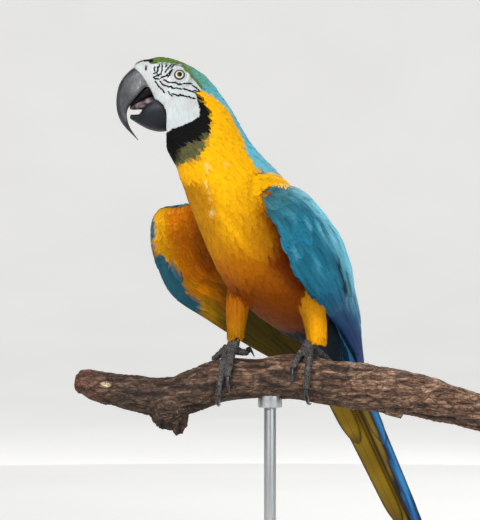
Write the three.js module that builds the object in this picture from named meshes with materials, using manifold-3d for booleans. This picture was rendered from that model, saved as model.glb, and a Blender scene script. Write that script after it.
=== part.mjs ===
// Blue-and-yellow macaw, life size, gripping a cut length of branch that a display stand holds up.
// Millimetres, +Z up, origin at the centre of the base's underside. The head looks to -X, the breast
// is turned to -X and -Y, the branch runs along X, and the tail hangs behind it, towards +Y.
import * as THREE from "three";
import { mergeVertices } from "three/addons/utils/BufferGeometryUtils.js";
import Module from "manifold-3d";

const wasm = await Module();
wasm.setup();

// ---- driving dimensions ----
const GAP = 0.4; // clearance between neighbouring pieces
const HEAD_Y = -66; // the head's mid plane, square to Y
const TRUNK_RING_SIDES = 20;
const TRUNK_RINGS = 33;
const BASE_RADIUS = 150;
const BASE_HEIGHT = 18;
const BASE_CHAMFER = 3;
const ROD_RADIUS = 6;
const CUP_RADIUS = 12;
const CUP_HEIGHT = 14;
const EYE_RADIUS = 9.5;
const EYE_X = -88.3; // where the eye meets the face
const EYE_Z = 593.3;
const EYE_FROM_MID = 22.4; // from the head's mid plane
const EYE_TILT = 19; // degrees the face slopes up round the eye
const EYE_DEPTH = 7.2; // the eyeball's centre under the face
const LID_RADIUS = 7.1;
const LID_THICKNESS = 1.5;
const NOSTRIL_X = -121;
const NOSTRIL_Z = 602.6;
const NOSTRIL_FROM_MID = 12;
const FEATHER_HALF_THICKNESS = 0.32;

// ---- colours, by what they cover ----
const COLOURS = {
  yellow: 0xf2a70c,
  blue: 0x2c8fb5,
  deepBlue: 0x1c4f9a,
  white: 0xe8e8e6,
  horn: 0x3c3d42,
  claw: 0x17171a,
  scale: 0x6c6a6c,
  eye: 0xe2dfb4,
  tongue: 0x2b2629,
  bark: 0x6b4d38,
  wood: 0x3a2a20,
  steel: 0xb8babd,
};

// ---- solids and meshes ----

// A three.js geometry as a manifold-3d solid, with its faces turned outwards.
function solidFrom(geometry) {
  const bare = geometry.index ? geometry.toNonIndexed() : geometry.clone();
  bare.deleteAttribute("normal");
  bare.deleteAttribute("uv");
  const merged = mergeVertices(bare, 1e-3);
  const build = (triVerts) =>
    new wasm.Manifold(
      new wasm.Mesh({
        numProp: 3,
        vertProperties: merged.attributes.position.array,
        triVerts,
      }),
    );
  const triVerts = new Uint32Array(merged.index.array);
  const made = build(triVerts);
  if (made.volume() > 0) return made;
  for (let i = 0; i < triVerts.length; i += 3)
    [triVerts[i + 1], triVerts[i + 2]] = [triVerts[i + 2], triVerts[i + 1]];
  return build(triVerts);
}

function geometryFrom(solid) {
  const { numProp, vertProperties, triVerts } = solid.getMesh();
  const count = vertProperties.length / numProp;
  const positions = new Float32Array(count * 3);
  for (let i = 0; i < count; i++)
    positions.set(vertProperties.subarray(i * numProp, i * numProp + 3), i * 3);
  const geometry = new THREE.BufferGeometry();
  geometry.setAttribute("position", new THREE.BufferAttribute(positions, 3));
  geometry.setIndex(new THREE.BufferAttribute(new Uint32Array(triVerts), 1));
  geometry.computeVertexNormals();
  return geometry;
}

const macaw = new THREE.Group();

function addNode(name, solid, color, roughness = 0.7, metalness = 0) {
  const material = new THREE.MeshStandardMaterial({ color, roughness, metalness });
  // Cutting can leave a sliver beside a piece; the piece itself is the largest body.
  const largest = solid
    .decompose()
    .reduce((a, b) => (a.volume() > b.volume() ? a : b));
  const mesh = new THREE.Mesh(geometryFrom(largest), material);
  mesh.name = name;
  macaw.add(mesh);
}

// ---- shapes through rings ----

// Closed surface through rings that all have the same number of points.
function skinThrough(rings) {
  const sides = rings[0].length;
  const centreOf = (ring) =>
    ring.reduce((sum, p) => sum.add(p), new THREE.Vector3()).divideScalar(sides);
  const points = [...rings.flat(), centreOf(rings[0]), centreOf(rings.at(-1))];
  const firstCap = rings.length * sides;
  const index = [];
  for (let i = 0; i < rings.length - 1; i++)
    for (let j = 0; j < sides; j++) {
      const next = (j + 1) % sides;
      const [a, b] = [i * sides + j, i * sides + next];
      index.push(a, b, a + sides, b, b + sides, a + sides);
    }
  const last = (rings.length - 1) * sides;
  for (let j = 0; j < sides; j++) {
    const next = (j + 1) % sides;
    index.push(firstCap, next, j);
    index.push(firstCap + 1, last + j, last + next);
  }
  const geometry = new THREE.BufferGeometry().setFromPoints(points);
  geometry.setIndex(index);
  return solidFrom(geometry);
}

// Catmull-Rom through rows of numbers, resampled to `count` rows.
function resample(rows, count) {
  return Array.from({ length: count }, (_, i) => {
    const s = (i / (count - 1)) * (rows.length - 1);
    const k = Math.min(Math.floor(s), rows.length - 2);
    const f = s - k;
    const row = (j) => rows[Math.max(0, Math.min(rows.length - 1, j))];
    return rows[k].map((_value, c) => {
      const [a, b, d, e] = [row(k - 1)[c], row(k)[c], row(k + 1)[c], row(k + 2)[c]];
      const bend = 2 * a - 5 * b + 4 * d - e;
      const twist = 3 * b - a - 3 * d + e;
      return 0.5 * (2 * b + (d - a) * f + bend * f * f + twist * f ** 3);
    });
  });
}

// The bird's own directions where it faces `yaw` degrees from -Y towards -X, pitched up `pitch`.
function directions(yaw, pitch) {
  const [turn, lift] = [yaw, pitch].map((degrees) => THREE.MathUtils.degToRad(degrees));
  const [sinY, cosY, sinP, cosP] = [Math.sin(turn), Math.cos(turn), Math.sin(lift), Math.cos(lift)];
  return {
    forward: new THREE.Vector3(-sinY * cosP, -cosY * cosP, sinP),
    back: new THREE.Vector3(sinY * sinP, cosY * sinP, cosP),
    left: new THREE.Vector3(cosY, -sinY, 0),
  };
}

const signedPower = (value, power) => Math.sign(value) * Math.abs(value) ** power;

// Rings through stations [x, y, z, yaw, pitch, half width, back, breast, squareness].
function bodyRings(stations, count, grow = 0, sides = TRUNK_RING_SIDES) {
  return resample(stations, count).map(
    ([x, y, z, yaw, pitch, halfWidth, back, breast, square]) => {
      const to = directions(yaw, pitch);
      return Array.from({ length: sides }, (_, j) => {
        const angle = (j / sides) * 2 * Math.PI;
        const across = signedPower(Math.cos(angle), 2 / square) * (halfWidth + grow);
        const deep = signedPower(Math.sin(angle), 2 / square);
        return new THREE.Vector3(x, y, z)
          .addScaledVector(to.left, across)
          .addScaledVector(to.back, deep * ((deep > 0 ? back : breast) + grow));
      });
    },
  );
}

// Tube through points [x, y, z, radius], each ring square to the path.
function tube(path, sides, grow = 0) {
  const points = path.map(([x, y, z]) => new THREE.Vector3(x, y, z));
  let across = new THREE.Vector3(0.31, 0.87, 0.38).normalize();
  const rings = points.map((point, i) => {
    const along = points[Math.min(i + 1, points.length - 1)]
      .clone()
      .sub(points[Math.max(i - 1, 0)])
      .normalize();
    across = across.clone().addScaledVector(along, -across.dot(along)).normalize();
    const up = new THREE.Vector3().crossVectors(along, across);
    const radius = path[i][3] + grow;
    return Array.from({ length: sides }, (_, j) => {
      const angle = (j / sides) * 2 * Math.PI;
      return point
        .clone()
        .addScaledVector(across, Math.cos(angle) * radius)
        .addScaledVector(up, Math.sin(angle) * radius);
    });
  });
  return skinThrough(rings);
}

// The two halves of a solid either side of a plane, a gap apart: [in front, behind].
function partedAt(solid, point, normal) {
  const offset = point.dot(normal);
  const n = normal.toArray();
  const reverse = normal.clone().negate().toArray();
  return [
    solid.trimByPlane(n, offset + GAP / 2),
    solid.trimByPlane(reverse, -offset + GAP / 2),
  ];
}

// ---- head, neck, trunk and tail base: one form, parted by thin cuts ----

// From the tail base to the cere: [x, y, z, yaw, pitch, half width, back, breast, squareness].
const BODY_STATIONS = [
  [80, 131, 286, 26, 43, 11, 4, 5, 2],
  [70, 111.5, 306, 26, 43, 17, 7, 9, 2],
  [60, 92, 327, 26, 43, 22, 10, 13, 2],
  [48.5, 77, 341, 28, 44, 27, 17, 17, 2],
  [37, 65, 354, 31, 47, 33, 27, 24, 2],
  [23, 48, 379, 33, 48, 44, 37, 40, 2],
  [7, 26, 410, 35, 49, 50, 42, 55, 2.1],
  [-8, 5, 440, 35, 49, 51, 45, 60, 2.1],
  [-23, -17, 470, 37, 50, 49, 43, 57, 2.1],
  [-43, -37, 497, 48, 51, 42, 39, 46, 2.1],
  [-56, -51, 518, 63, 50, 34, 38, 42, 2.1],
  [-66, -60, 535.5, 78, 39, 29, 40, 41, 2.2],
  [-78.5, -64, 552.5, 87, 26, 27, 43, 43, 2.3],
  [-89.5, HEAD_Y, 562.5, 90, 15, 26, 43, 43, 2.8],
  [-99.5, HEAD_Y, 570, 90, 3, 25, 41.5, 41.5, 2.8],
  [-106.5, HEAD_Y, 574, 90, -9, 22, 39, 39.5, 2.6],
  [-113, HEAD_Y, 575, 90, -20, 18.4, 34, 37, 2.5],
  [-120.5, HEAD_Y, 588, 90, -25, 15.5, 19, 17, 2.4],
];
// Stations at whose ring the body is parted, counted from the tail base.
const TAIL_BASE_CUT = 4.6;
const NECK_CUT = 9.4;
const HEAD_CUT = 11.6;

function bodyForm(grow) {
  return skinThrough(bodyRings(BODY_STATIONS, TRUNK_RINGS, grow));
}

// Point and forward direction of the body's axis at a station number.
function bodyAxisAt(station) {
  const steps = 200;
  const rows = resample(BODY_STATIONS, steps + 1);
  const row = rows[Math.round((station / (BODY_STATIONS.length - 1)) * steps)];
  const [x, y, z, yaw, pitch] = row;
  return { point: new THREE.Vector3(x, y, z), forward: directions(yaw, pitch).forward };
}

// ---- eyes ----

// Stands a shape made at the origin, facing +Z, on the face at one eye, `depth` under it.
function atEye(geometry, side, depth) {
  const outward = new THREE.Vector3(0, side, Math.tan(THREE.MathUtils.degToRad(EYE_TILT))).normalize();
  const place = new THREE.Vector3(EYE_X, HEAD_Y + side * EYE_FROM_MID, EYE_Z);
  place.addScaledVector(outward, -depth);
  geometry.applyQuaternion(
    new THREE.Quaternion().setFromUnitVectors(new THREE.Vector3(0, 0, 1), outward),
  );
  return solidFrom(geometry.translate(place.x, place.y, place.z));
}

function eyeball(side, grow) {
  const ball = new THREE.SphereGeometry(EYE_RADIUS + grow, 12, 8).rotateX(Math.PI / 2);
  return atEye(ball, side, EYE_DEPTH);
}

// The lids' ring, which stands out from the bare face.
function lid(side) {
  return atEye(new THREE.TorusGeometry(LID_RADIUS, LID_THICKNESS, 5, 12), side, 0.3);
}

// The opening the lids leave, cleared of the face.
function lidOpening(side) {
  const cone = new THREE.CylinderGeometry(LID_RADIUS, LID_RADIUS - 1.2, 6, 12);
  return atEye(cone.rotateX(Math.PI / 2), side, -3);
}

function nostril(side) {
  const hole = new THREE.SphereGeometry(1, 7, 4).scale(1.5, 3, 2.7);
  hole.translate(NOSTRIL_X, HEAD_Y + side * NOSTRIL_FROM_MID, NOSTRIL_Z);
  return solidFrom(hole);
}

// ---- bill and tongue ----

// Rings between an outer and an inner edge in the head's mid plane:
// [outer x, z, inner x, z, half width]. `widen` grows the width alone.
function billRings(stations, count, grow, widen = 1, sides = 12) {
  return resample(stations, count).map(([outX, outZ, inX, inZ, half]) => {
    const halfWidth = half * widen;
    const outer = new THREE.Vector3(outX, HEAD_Y, outZ);
    const inner = new THREE.Vector3(inX, HEAD_Y, inZ);
    const centre = outer.clone().add(inner).multiplyScalar(0.5);
    const ridge = outer.clone().sub(inner).multiplyScalar(0.5);
    const reach = ridge.length();
    ridge.multiplyScalar((reach + grow) / reach);
    return Array.from({ length: sides }, (_, j) => {
      const angle = (j / sides) * 2 * Math.PI;
      // The ridge is round, and the cutting edges are square.
      const rise = Math.sin(angle);
      const wide = signedPower(Math.cos(angle), rise > 0 ? 0.9 : 0.45);
      return centre
        .clone()
        .addScaledVector(ridge, signedPower(rise, rise > 0 ? 1 : 0.7))
        .add(new THREE.Vector3(0, wide * (halfWidth + grow), 0));
    });
  });
}

const UPPER_BILL = [
  [-122, 599, -110, 583.5, 16.4],
  [-131.5, 602.5, -117, 582.6, 16.8],
  [-140, 596.5, -122.4, 582.4, 15.8],
  [-146.8, 587.3, -128.4, 575.4, 13.9],
  [-149.8, 576.6, -133.8, 568.6, 11.4],
  [-150.4, 567, -138.6, 563, 8.8],
  [-149.2, 558, -140.2, 557.4, 6.6],
  [-145.9, 549.8, -139.4, 551, 4.8],
  [-141, 543.3, -137.4, 544.6, 3.2],
  [-135.4, 537.6, -133.8, 538.8, 1.7],
  [-129.4, 531.6, -129, 532.2, 0.6],
];

const LOWER_BILL = [
  [-96, 547, -98.5, 562, 17.5],
  [-99.5, 541.5, -106, 569.5, 19.6],
  [-108, 539.8, -114.5, 570, 19],
  [-118, 541.8, -122.5, 564.8, 16.6],
  [-126, 545.6, -127.4, 557.4, 13.2],
  [-132.2, 549.4, -131.6, 556.4, 10.2],
  [-137, 552.6, -136.2, 556.4, 7.6],
];

// The trough inside the lower bill, where the tongue lies.
const TROUGH = [
  [-103, 552, -98, 582, 12],
  [-112, 550, -112, 580, 13.4],
  [-120, 551, -122, 576, 12],
  [-127, 553.5, -129, 570, 9],
  [-132.5, 555, -134, 566, 6.4],
];

// The hollow under the upper bill.
const PALATE = [
  [-112, 587, -110, 560, 10.5],
  [-121, 584.5, -122, 560, 11],
  [-130, 578, -131, 560, 9.6],
  [-137, 570, -140, 556, 6.4],
];

// The cere: the bare skin that laps over the root of the upper bill.
const CERE = [
  [-110, 606, -103, 586, 17.5],
  [-119, 609.2, -109, 583.6, 18.4],
  [-126, 608.8, -113.5, 582, 18.4],
  [-131, 605.6, -117, 580.8, 18],
  [-133.4, 602.8, -118.6, 582, 16.4],
];

// The fleshy ridge down the hollow's middle, just over the tongue: [x, z, radius].
const PALATE_RIDGE = [
  [-108, 582, 7.5],
  [-114, 581.5, 8],
  [-121, 578.5, 7.6],
  [-127.5, 573.5, 6],
  [-133, 568.8, 4],
  [-137.5, 566.6, 2.2],
].map(([x, z, radius]) => [x, HEAD_Y, z, radius]);

// [x, z, radius] from its root to its tip.
const TONGUE = [
  [-107, 566, 6.5],
  [-114, 567, 7],
  [-121, 567, 6.2],
  [-128, 565.6, 4.4],
  [-134, 563.6, 2.6],
  [-137.2, 563, 1.4],
].map(([x, z, radius]) => [x, HEAD_Y, z, radius]);

// ---- wings ----

// Rings from leading to trailing edge: [lead x, y, z, trail x, y, z, half thickness, camber].
function wingRings(stations, count, outwards, sides = 12) {
  const rows = resample(stations, count);
  const lead = rows.map((r) => new THREE.Vector3(r[0], r[1], r[2]));
  const trail = rows.map((r) => new THREE.Vector3(r[3], r[4], r[5]));
  const middle = lead.map((p, i) => p.clone().add(trail[i]).multiplyScalar(0.5));
  return rows.map((row, i) => {
    const along = middle[Math.min(i + 1, count - 1)].clone().sub(middle[Math.max(i - 1, 0)]);
    const chord = trail[i].clone().sub(lead[i]).multiplyScalar(0.5);
    const out = new THREE.Vector3().crossVectors(along, chord).normalize();
    if (out.dot(outwards) < 0) out.negate();
    const [thickness, camber] = [row[6], row[7]];
    return Array.from({ length: sides }, (_, j) => {
      const angle = (j / sides) * 2 * Math.PI;
      const across = Math.cos(angle);
      const lift = thickness * signedPower(Math.sin(angle), 0.8) + camber * (1 - across * across);
      return middle[i].clone().addScaledVector(chord, across).addScaledVector(out, lift);
    });
  });
}

const LEFT_WING = [
  [-8, -68, 476, 2, -62, 487, 4, 2],
  [-6, -70, 464, 15, -46, 489, 8, 7],
  [5, -67, 447, 29.5, -26, 483, 9.5, 12],
  [10, -62, 430, 39, -8, 474, 9.5, 15],
  [19, -50, 409, 52.5, 7, 459, 9, 16],
  [31, -32, 389, 67, 24, 440.5, 8, 15],
  [49, -4, 369, 79, 41, 411, 6.5, 11],
  [61, 22, 355.5, 85.5, 58, 389, 5, 7],
  [76, 52, 339, 92.5, 78, 362.5, 4, 4],
  [86.5, 82, 321, 96, 99, 336, 3, 3],
  [95, 114, 300, 99.5, 122.5, 311, 2.2, 2],
  [103, 152, 273, 105.5, 153, 276.5, 1.2, 1],
];

const RIGHT_WING = [
  [-111, 19, 468, -56, 10, 474, 5, 2],
  [-119, 20, 455, -50, 13, 472, 8, 4],
  [-120.5, 24, 436, -44, 22, 469, 9, 6],
  [-116, 38, 413, -42, 38, 464, 8.5, 8],
  [-99.5, 60, 378, -34, 63, 438, 7, 8],
  [-66, 88, 354, -8, 92, 405, 5.5, 7],
  [-25, 122, 327, 14, 125, 362, 4, 5],
  [20, 158, 301, 40, 161, 318, 2.6, 3],
  [43, 179, 285.5, 46, 180, 288.5, 1.2, 1],
];
// Share of the wing's length at which the coverts end and the flight feathers stand alone.
const COVERTS_END = 0.62;
const PRIMARIES_START = 0.8;

function wing(side, stations, outwards) {
  const whole = skinThrough(wingRings(stations, 15, outwards))
    .subtract(bodyForm(GAP))
    .subtract(thighForm(side, GAP));
  const middleAt = (share) => {
    const row = resample(stations, 101)[Math.round(share * 100)];
    return new THREE.Vector3(row[0] + row[3], row[1] + row[4], row[2] + row[5]).multiplyScalar(0.5);
  };
  const cut = (solid, share) => {
    const point = middleAt(share);
    const along = middleAt(share + 0.05).sub(middleAt(share - 0.05)).normalize();
    return partedAt(solid, point, along);
  };
  const [flight, arm] = cut(whole, COVERTS_END);
  const [primaries, secondaries] = cut(flight, PRIMARIES_START);
  addNode(`${side}_wing_arm`, arm, COLOURS.blue);
  addNode(`${side}_secondaries`, secondaries, COLOURS.blue);
  addNode(`${side}_primaries`, primaries, COLOURS.deepBlue);
}

// ---- tail feathers ----

const TAIL_ROOT = new THREE.Vector3(54.5, 75, 354);
const TAIL_YAW = 26;
const TAIL_PITCH = 43;
const TAIL_LENGTHS = [460, 425, 392, 362, 336, 188]; // from the middle pair outwards
const TAIL_ARCH_RADIUS = 90;
const TAIL_LAYER = 1.05;
const TAIL_FEATHER_HALF_WIDTH = 12.5;
const TAIL_START = -16; // the quills begin inside the tail base

// How far a pair's shaft stands from the tail's mid line, `s` along the tail.
const tailSpread = (pair, s) => (3 + 3 * pair) * (1 - (0.45 * s) / TAIL_LENGTHS[0]);

function tailFeatherHalfWidth(length, s) {
  const fromRoot = THREE.MathUtils.smoothstep(s, TAIL_START, 90);
  const taper = 1 - 0.4 * (s / TAIL_LENGTHS[0]);
  const tipStart = length - 46;
  const tip = s > tipStart ? Math.sqrt(Math.max(0.004, 1 - ((s - tipStart) / 46) ** 2)) : 1;
  return (4 + (TAIL_FEATHER_HALF_WIDTH - 4) * fromRoot) * taper * tip;
}

function tailFeather(pair, side) {
  const to = directions(TAIL_YAW, TAIL_PITCH);
  const length = TAIL_LENGTHS[pair];
  const layer = -(2 * pair + (side > 0 ? 0 : 1)) * TAIL_LAYER;
  const shares = [0, 0.24, 0.55, 0.84, 0.93, 0.98, 1];
  const rings = shares.map((share) => {
    const s = TAIL_START + share * (length - TAIL_START);
    const half = tailFeatherHalfWidth(length, s);
    const middle = side * tailSpread(pair, s);
    const at = (lateral, lift) =>
      TAIL_ROOT.clone()
        .addScaledVector(to.forward, -s)
        .addScaledVector(to.left, lateral)
        .addScaledVector(to.back, layer + lift - lateral ** 2 / (2 * TAIL_ARCH_RADIUS));
    const columns = [-1, 0, 1].map((c) => middle + c * half);
    return [
      ...columns.map((c) => at(c, FEATHER_HALF_THICKNESS)),
      ...columns.toReversed().map((c) => at(c, -FEATHER_HALF_THICKNESS)),
    ];
  });
  return skinThrough(rings);
}

// ---- branch ----

// Axis height and radius along X: [x, z, radius].
const BRANCH = [
  [-195, 294, 6],
  [-191, 293.5, 11],
  [-183, 292.5, 13.4],
  [-170, 288.5, 15.6],
  [-150, 284.5, 17.4],
  [-130, 280.8, 18.4],
  [-112, 278, 19.6],
  [-95, 278.5, 20.4],
  [-76, 284.5, 21.4],
  [-57, 292.5, 21.4],
  [-39, 296, 21.4],
  [-9, 296.3, 20.6],
  [26, 298.4, 22.8],
  [58, 292.6, 22.8],
  [98, 287.4, 23.4],
  [138, 281.5, 22.2],
  [178, 272, 20],
  [210, 262, 18.2],
  [232, 255, 17.2],
];
const STUB = [
  [-95, 0, 284, 20],
  [-99, 0, 268, 22],
  [-97, 0, 258.5, 20],
  [-93, 0, 250, 12.5],
  [-91.5, -1, 244, 7],
  [-91, -1, 239.6, 3],
];
const TWIG = [
  [104, 0, 274, 9],
  [120, -6, 265, 6],
  [132, -9, 259.5, 3.8],
];

function branchForm(grow) {
  const path = resample(BRANCH, 24).map(([x, z, radius]) => [x, 0, z, radius]);
  return tube(path, 13, grow).add(tube(STUB, 8, grow)).add(tube(TWIG, 6, grow));
}

// The branch's axis height and radius at x.
function branchAt(x) {
  const k = BRANCH.findIndex((row) => row[0] > x);
  const [a, b] = [BRANCH[k - 1], BRANCH[k]];
  const f = (x - a[0]) / (b[0] - a[0]);
  return { z: a[1] + f * (b[1] - a[1]), radius: a[2] + f * (b[2] - a[2]) };
}

// ---- legs ----

const THIGHS = {
  left: [
    [20, 20, 428, 24],
    [31, 12, 405, 20],
    [38, 5, 384, 15.5],
    [43, 2, 364, 13],
    [46, 1, 347, 12],
    [46.5, 1, 331, 9.6],
  ],
  right: [
    [-8, 40, 436, 24],
    [-20, 30, 408, 18],
    [-30, 17, 383, 14],
    [-33.5, 7, 360, 11.6],
    [-34, 3, 345, 10],
    [-34, 2, 336, 8.6],
  ],
};
const THIGH_RINGS = 9;
const thighForm = (side, grow) => tube(resample(THIGHS[side], THIGH_RINGS), 12, grow);

// Shank from inside the thigh's feathers down to the foot, and the toes.
// Toe: `x` where it starts and ends along the branch, `turn` degrees round the branch from its top
// towards -Y at its start, its end and the claw's point, `off` how far start and end stand off the
// bark, and `claw` how far the claw runs along the branch and how high it arches.
const FEET = {
  right: {
    shank: [[-33.5, 3, 350, 5.4], [-34.5, 2, 338, 5.8], [-37, 0.5, 329, 6.8], [-39, -1, 325.5, 7.2]],
    toes: {
      inner: { x: [-36.5, -42], turn: [6, 84, 124], radius: 4.1, off: [3, 0], claw: [2, 3.4] },
      outer: { x: [-43, -52.5], turn: [8, 122, 168], radius: 4.4, off: [3, 0], claw: [3, 3.4] },
      hind_inner: { x: [-34, -22], turn: [-4, -12, -26], radius: 4.6, off: [2, 2], claw: [7, 7] },
      hind_outer: { x: [-43, -56], turn: [-6, -36, -74], radius: 5, off: [5, 3], claw: [-3, 4] },
    },
  },
  left: {
    shank: [[47, 3, 350, 5.4], [45.5, 2, 339, 6], [41.5, 0.5, 333, 7], [39, -1, 329.5, 7.4]],
    toes: {
      inner: { x: [35, 22], turn: [8, 70, 110], radius: 4.2, off: [3, 0], claw: [-2, 3.6] },
      outer: { x: [39.5, 35.5], turn: [6, 112, 170], radius: 4.6, off: [3, 0], claw: [6, 3.4] },
      hind_inner: { x: [44, 61], turn: [-6, -46, -88], radius: 4.9, off: [3, 1], claw: [4, 3.4] },
      hind_outer: { x: [37, 27], turn: [-10, -64, -106], radius: 4.6, off: [3, 0], claw: [-3, 3.4] },
    },
  },
};
const TOE_STEPS = 7;
const CLAW_STEPS = 6;
const CLAW_RADIUS = 2.9;

// A point off the branch's surface: x along it, degrees round it, and the distance out.
function roundBranch(x, degrees, out) {
  const { z, radius } = branchAt(x);
  const angle = THREE.MathUtils.degToRad(degrees);
  const reach = radius + out;
  return [x, -Math.sin(angle) * reach, z + Math.cos(angle) * reach];
}

const between = ([start, end], s) => start + (end - start) * s;

function toe({ x, turn, radius, off }) {
  const path = Array.from({ length: TOE_STEPS }, (_, i) => {
    const s = i / (TOE_STEPS - 1);
    // Three pads swell the toe between its joints, and it narrows towards the claw.
    const pads = 1 + 0.09 * Math.cos(6 * Math.PI * s);
    const r = radius * pads * (1 - 0.3 * s);
    const out = r + GAP + off[0] * (1 - s) ** 2 + off[1] * s;
    return [...roundBranch(between(x, s), between(turn, s), out), r];
  });
  return tube(path, 6);
}

// A claw is set in the toe's end, arches off the branch and comes back to it at its point.
function claw({ x, turn: [from, to, point], off, claw: [shift, height] }, grow) {
  const start = to - Math.sign(to - from) * 2;
  const path = Array.from({ length: CLAW_STEPS }, (_, i) => {
    const s = i / (CLAW_STEPS - 1);
    const r = CLAW_RADIUS * (1 - s) ** 0.7 + 0.35;
    const arch = height * Math.sin(Math.PI * Math.min(1, s * 0.92)) + (3.4 + off[1]) * (1 - s);
    const out = r * 0.2 + arch + GAP;
    return [...roundBranch(x[1] + shift * s * s, between([start, point], s), out), r];
  });
  return tube(path, 5, grow);
}

function leg(side, branch) {
  const { shank, toes } = FEET[side];
  addNode(`${side}_thigh`, thighForm(side, 0).subtract(bodyForm(GAP)), COLOURS.yellow);
  let foot = tube(shank, 8);
  const { x, z, r } = { x: shank.at(-1)[0], z: shank.at(-1)[2], r: 8 };
  const palm = new THREE.SphereGeometry(r, 8, 5).scale(1, 1.05, 0.72).translate(x, -0.5, z);
  foot = foot.add(solidFrom(palm));
  for (const sizes of Object.values(toes)) foot = foot.add(toe(sizes));
  foot = foot.subtract(thighForm(side, GAP)).subtract(branch);
  for (const sizes of Object.values(toes)) foot = foot.subtract(claw(sizes, GAP));
  addNode(`${side}_foot`, foot, COLOURS.scale);
  for (const [name, sizes] of Object.entries(toes))
    addNode(`${side}_claw_${name}`, claw(sizes, 0).subtract(branch), COLOURS.claw, 0.3);
}

// ---- display stand ----

function turned(profile, segments) {
  const points = profile.map(([r, z]) => new THREE.Vector2(r, z));
  // LatheGeometry turns about Y, so it is stood up to turn about Z.
  return solidFrom(new THREE.LatheGeometry(points, segments).rotateX(Math.PI / 2));
}

function stand(branch) {
  const low = BASE_HEIGHT - BASE_CHAMFER;
  const base = [
    [0, 0],
    [BASE_RADIUS - 1.5, 0],
    [BASE_RADIUS, 1.5],
    [BASE_RADIUS, low],
    [BASE_RADIUS - BASE_CHAMFER, BASE_HEIGHT],
    [0, BASE_HEIGHT],
  ];
  addNode("stand_base", turned(base, 36), COLOURS.wood);
  const { z, radius } = branchAt(0);
  const cupTop = z - radius + 6;
  const cupLow = cupTop - CUP_HEIGHT;
  const rodLow = BASE_HEIGHT + GAP;
  const rodTop = cupLow - GAP;
  const rod = [[0, rodLow], [ROD_RADIUS, rodLow], [ROD_RADIUS, rodTop], [0, rodTop]];
  addNode("stand_rod", turned(rod, 16), COLOURS.steel, 0.3, 1);
  const cup = [
    [0, cupLow], [CUP_RADIUS - 2, cupLow], [CUP_RADIUS, cupLow + 2], [CUP_RADIUS, cupTop], [0, cupTop],
  ];
  addNode("stand_cup", turned(cup, 18).subtract(branch), COLOURS.steel, 0.3, 1);
}

// ---- the whole model ----

function bird() {
  const body = bodyForm(0);
  const at = (station) => bodyAxisAt(station);
  const tailCut = at(TAIL_BASE_CUT);
  const neckCut = at(NECK_CUT);
  const headCut = at(HEAD_CUT);
  const [aboveTail, tailBase] = partedAt(body, tailCut.point, tailCut.forward);
  const [aboveTrunk, trunk] = partedAt(aboveTail, neckCut.point, neckCut.forward);
  const [head, neck] = partedAt(aboveTrunk, headCut.point, headCut.forward);
  const upper = skinThrough(billRings(UPPER_BILL, 13, 0));
  const lower = skinThrough(billRings(LOWER_BILL, 9, 0));
  const trough = skinThrough(billRings(TROUGH, 6, 0, 1, 8));
  const palate = skinThrough(billRings(PALATE, 6, 0, 1, 8));
  const cere = skinThrough(billRings(CERE, 5, 0))
    .subtract(skinThrough(billRings(UPPER_BILL, 13, GAP)))
    .subtract(palate);
  let openHead = head
    .subtract(skinThrough(billRings(UPPER_BILL, 13, GAP, 1.1)))
    .add(cere)
    .subtract(skinThrough(billRings(LOWER_BILL, 9, GAP, 1.16)))
    .subtract(tube(PALATE_RIDGE, 8, GAP))
    .subtract(tube(TONGUE, 8, GAP));
  for (const side of [-1, 1])
    openHead = openHead
      .subtract(lidOpening(side))
      .add(lid(side))
      .subtract(eyeball(side, GAP))
      .subtract(nostril(side));
  addNode("head", openHead, COLOURS.white);
  addNode("neck", neck, COLOURS.yellow);
  addNode("trunk", trunk, COLOURS.yellow);
  addNode("tail_base", tailBase, COLOURS.blue);
  addNode("left_eye", eyeball(-1, 0), COLOURS.eye, 0.1);
  addNode("right_eye", eyeball(1, 0), COLOURS.eye, 0.1);
  const ridged = upper.subtract(palate).add(tube(PALATE_RIDGE, 8));
  addNode("upper_bill", ridged.subtract(tube(TONGUE, 8, GAP)), COLOURS.horn, 0.4);
  addNode("lower_bill", lower.subtract(trough).subtract(tube(TONGUE, 8, GAP)), COLOURS.horn, 0.4);
  addNode("tongue", tube(TONGUE, 8), COLOURS.tongue, 0.3);
}

function tail() {
  const clear = bodyForm(GAP);
  TAIL_LENGTHS.forEach((_length, pair) => {
    for (const [name, side] of [["left", 1], ["right", -1]])
      addNode(
        `tail_feather_${name}_${pair + 1}`,
        tailFeather(pair, side).subtract(clear),
        COLOURS.deepBlue,
      );
  });
}

const branchClear = branchForm(GAP);
bird();
wing("left", LEFT_WING, directions(35, 49).left);
wing("right", RIGHT_WING, new THREE.Vector3(-0.41, 0.8, 0.44));
tail();
leg("left", branchClear);
leg("right", branchClear);
addNode("perch_branch", branchForm(0), COLOURS.bark, 0.9);
stand(branchClear);

export default macaw;
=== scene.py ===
import math

import bpy
import numpy as np
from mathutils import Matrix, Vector, noise
from mathutils.bvhtree import BVHTree


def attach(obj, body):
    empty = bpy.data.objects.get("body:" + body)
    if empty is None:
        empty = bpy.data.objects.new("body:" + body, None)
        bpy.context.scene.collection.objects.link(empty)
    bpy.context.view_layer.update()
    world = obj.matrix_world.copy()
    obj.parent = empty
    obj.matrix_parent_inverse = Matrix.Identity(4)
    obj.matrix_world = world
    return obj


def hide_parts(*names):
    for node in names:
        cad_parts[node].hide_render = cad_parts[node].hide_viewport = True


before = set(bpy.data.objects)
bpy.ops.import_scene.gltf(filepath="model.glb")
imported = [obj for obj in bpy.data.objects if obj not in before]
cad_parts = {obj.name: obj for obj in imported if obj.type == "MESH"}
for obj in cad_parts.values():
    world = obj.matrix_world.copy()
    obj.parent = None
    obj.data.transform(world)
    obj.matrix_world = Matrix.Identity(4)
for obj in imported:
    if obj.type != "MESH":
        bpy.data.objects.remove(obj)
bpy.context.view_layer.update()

bpy.ops.object.select_all(action="DESELECT")
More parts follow.
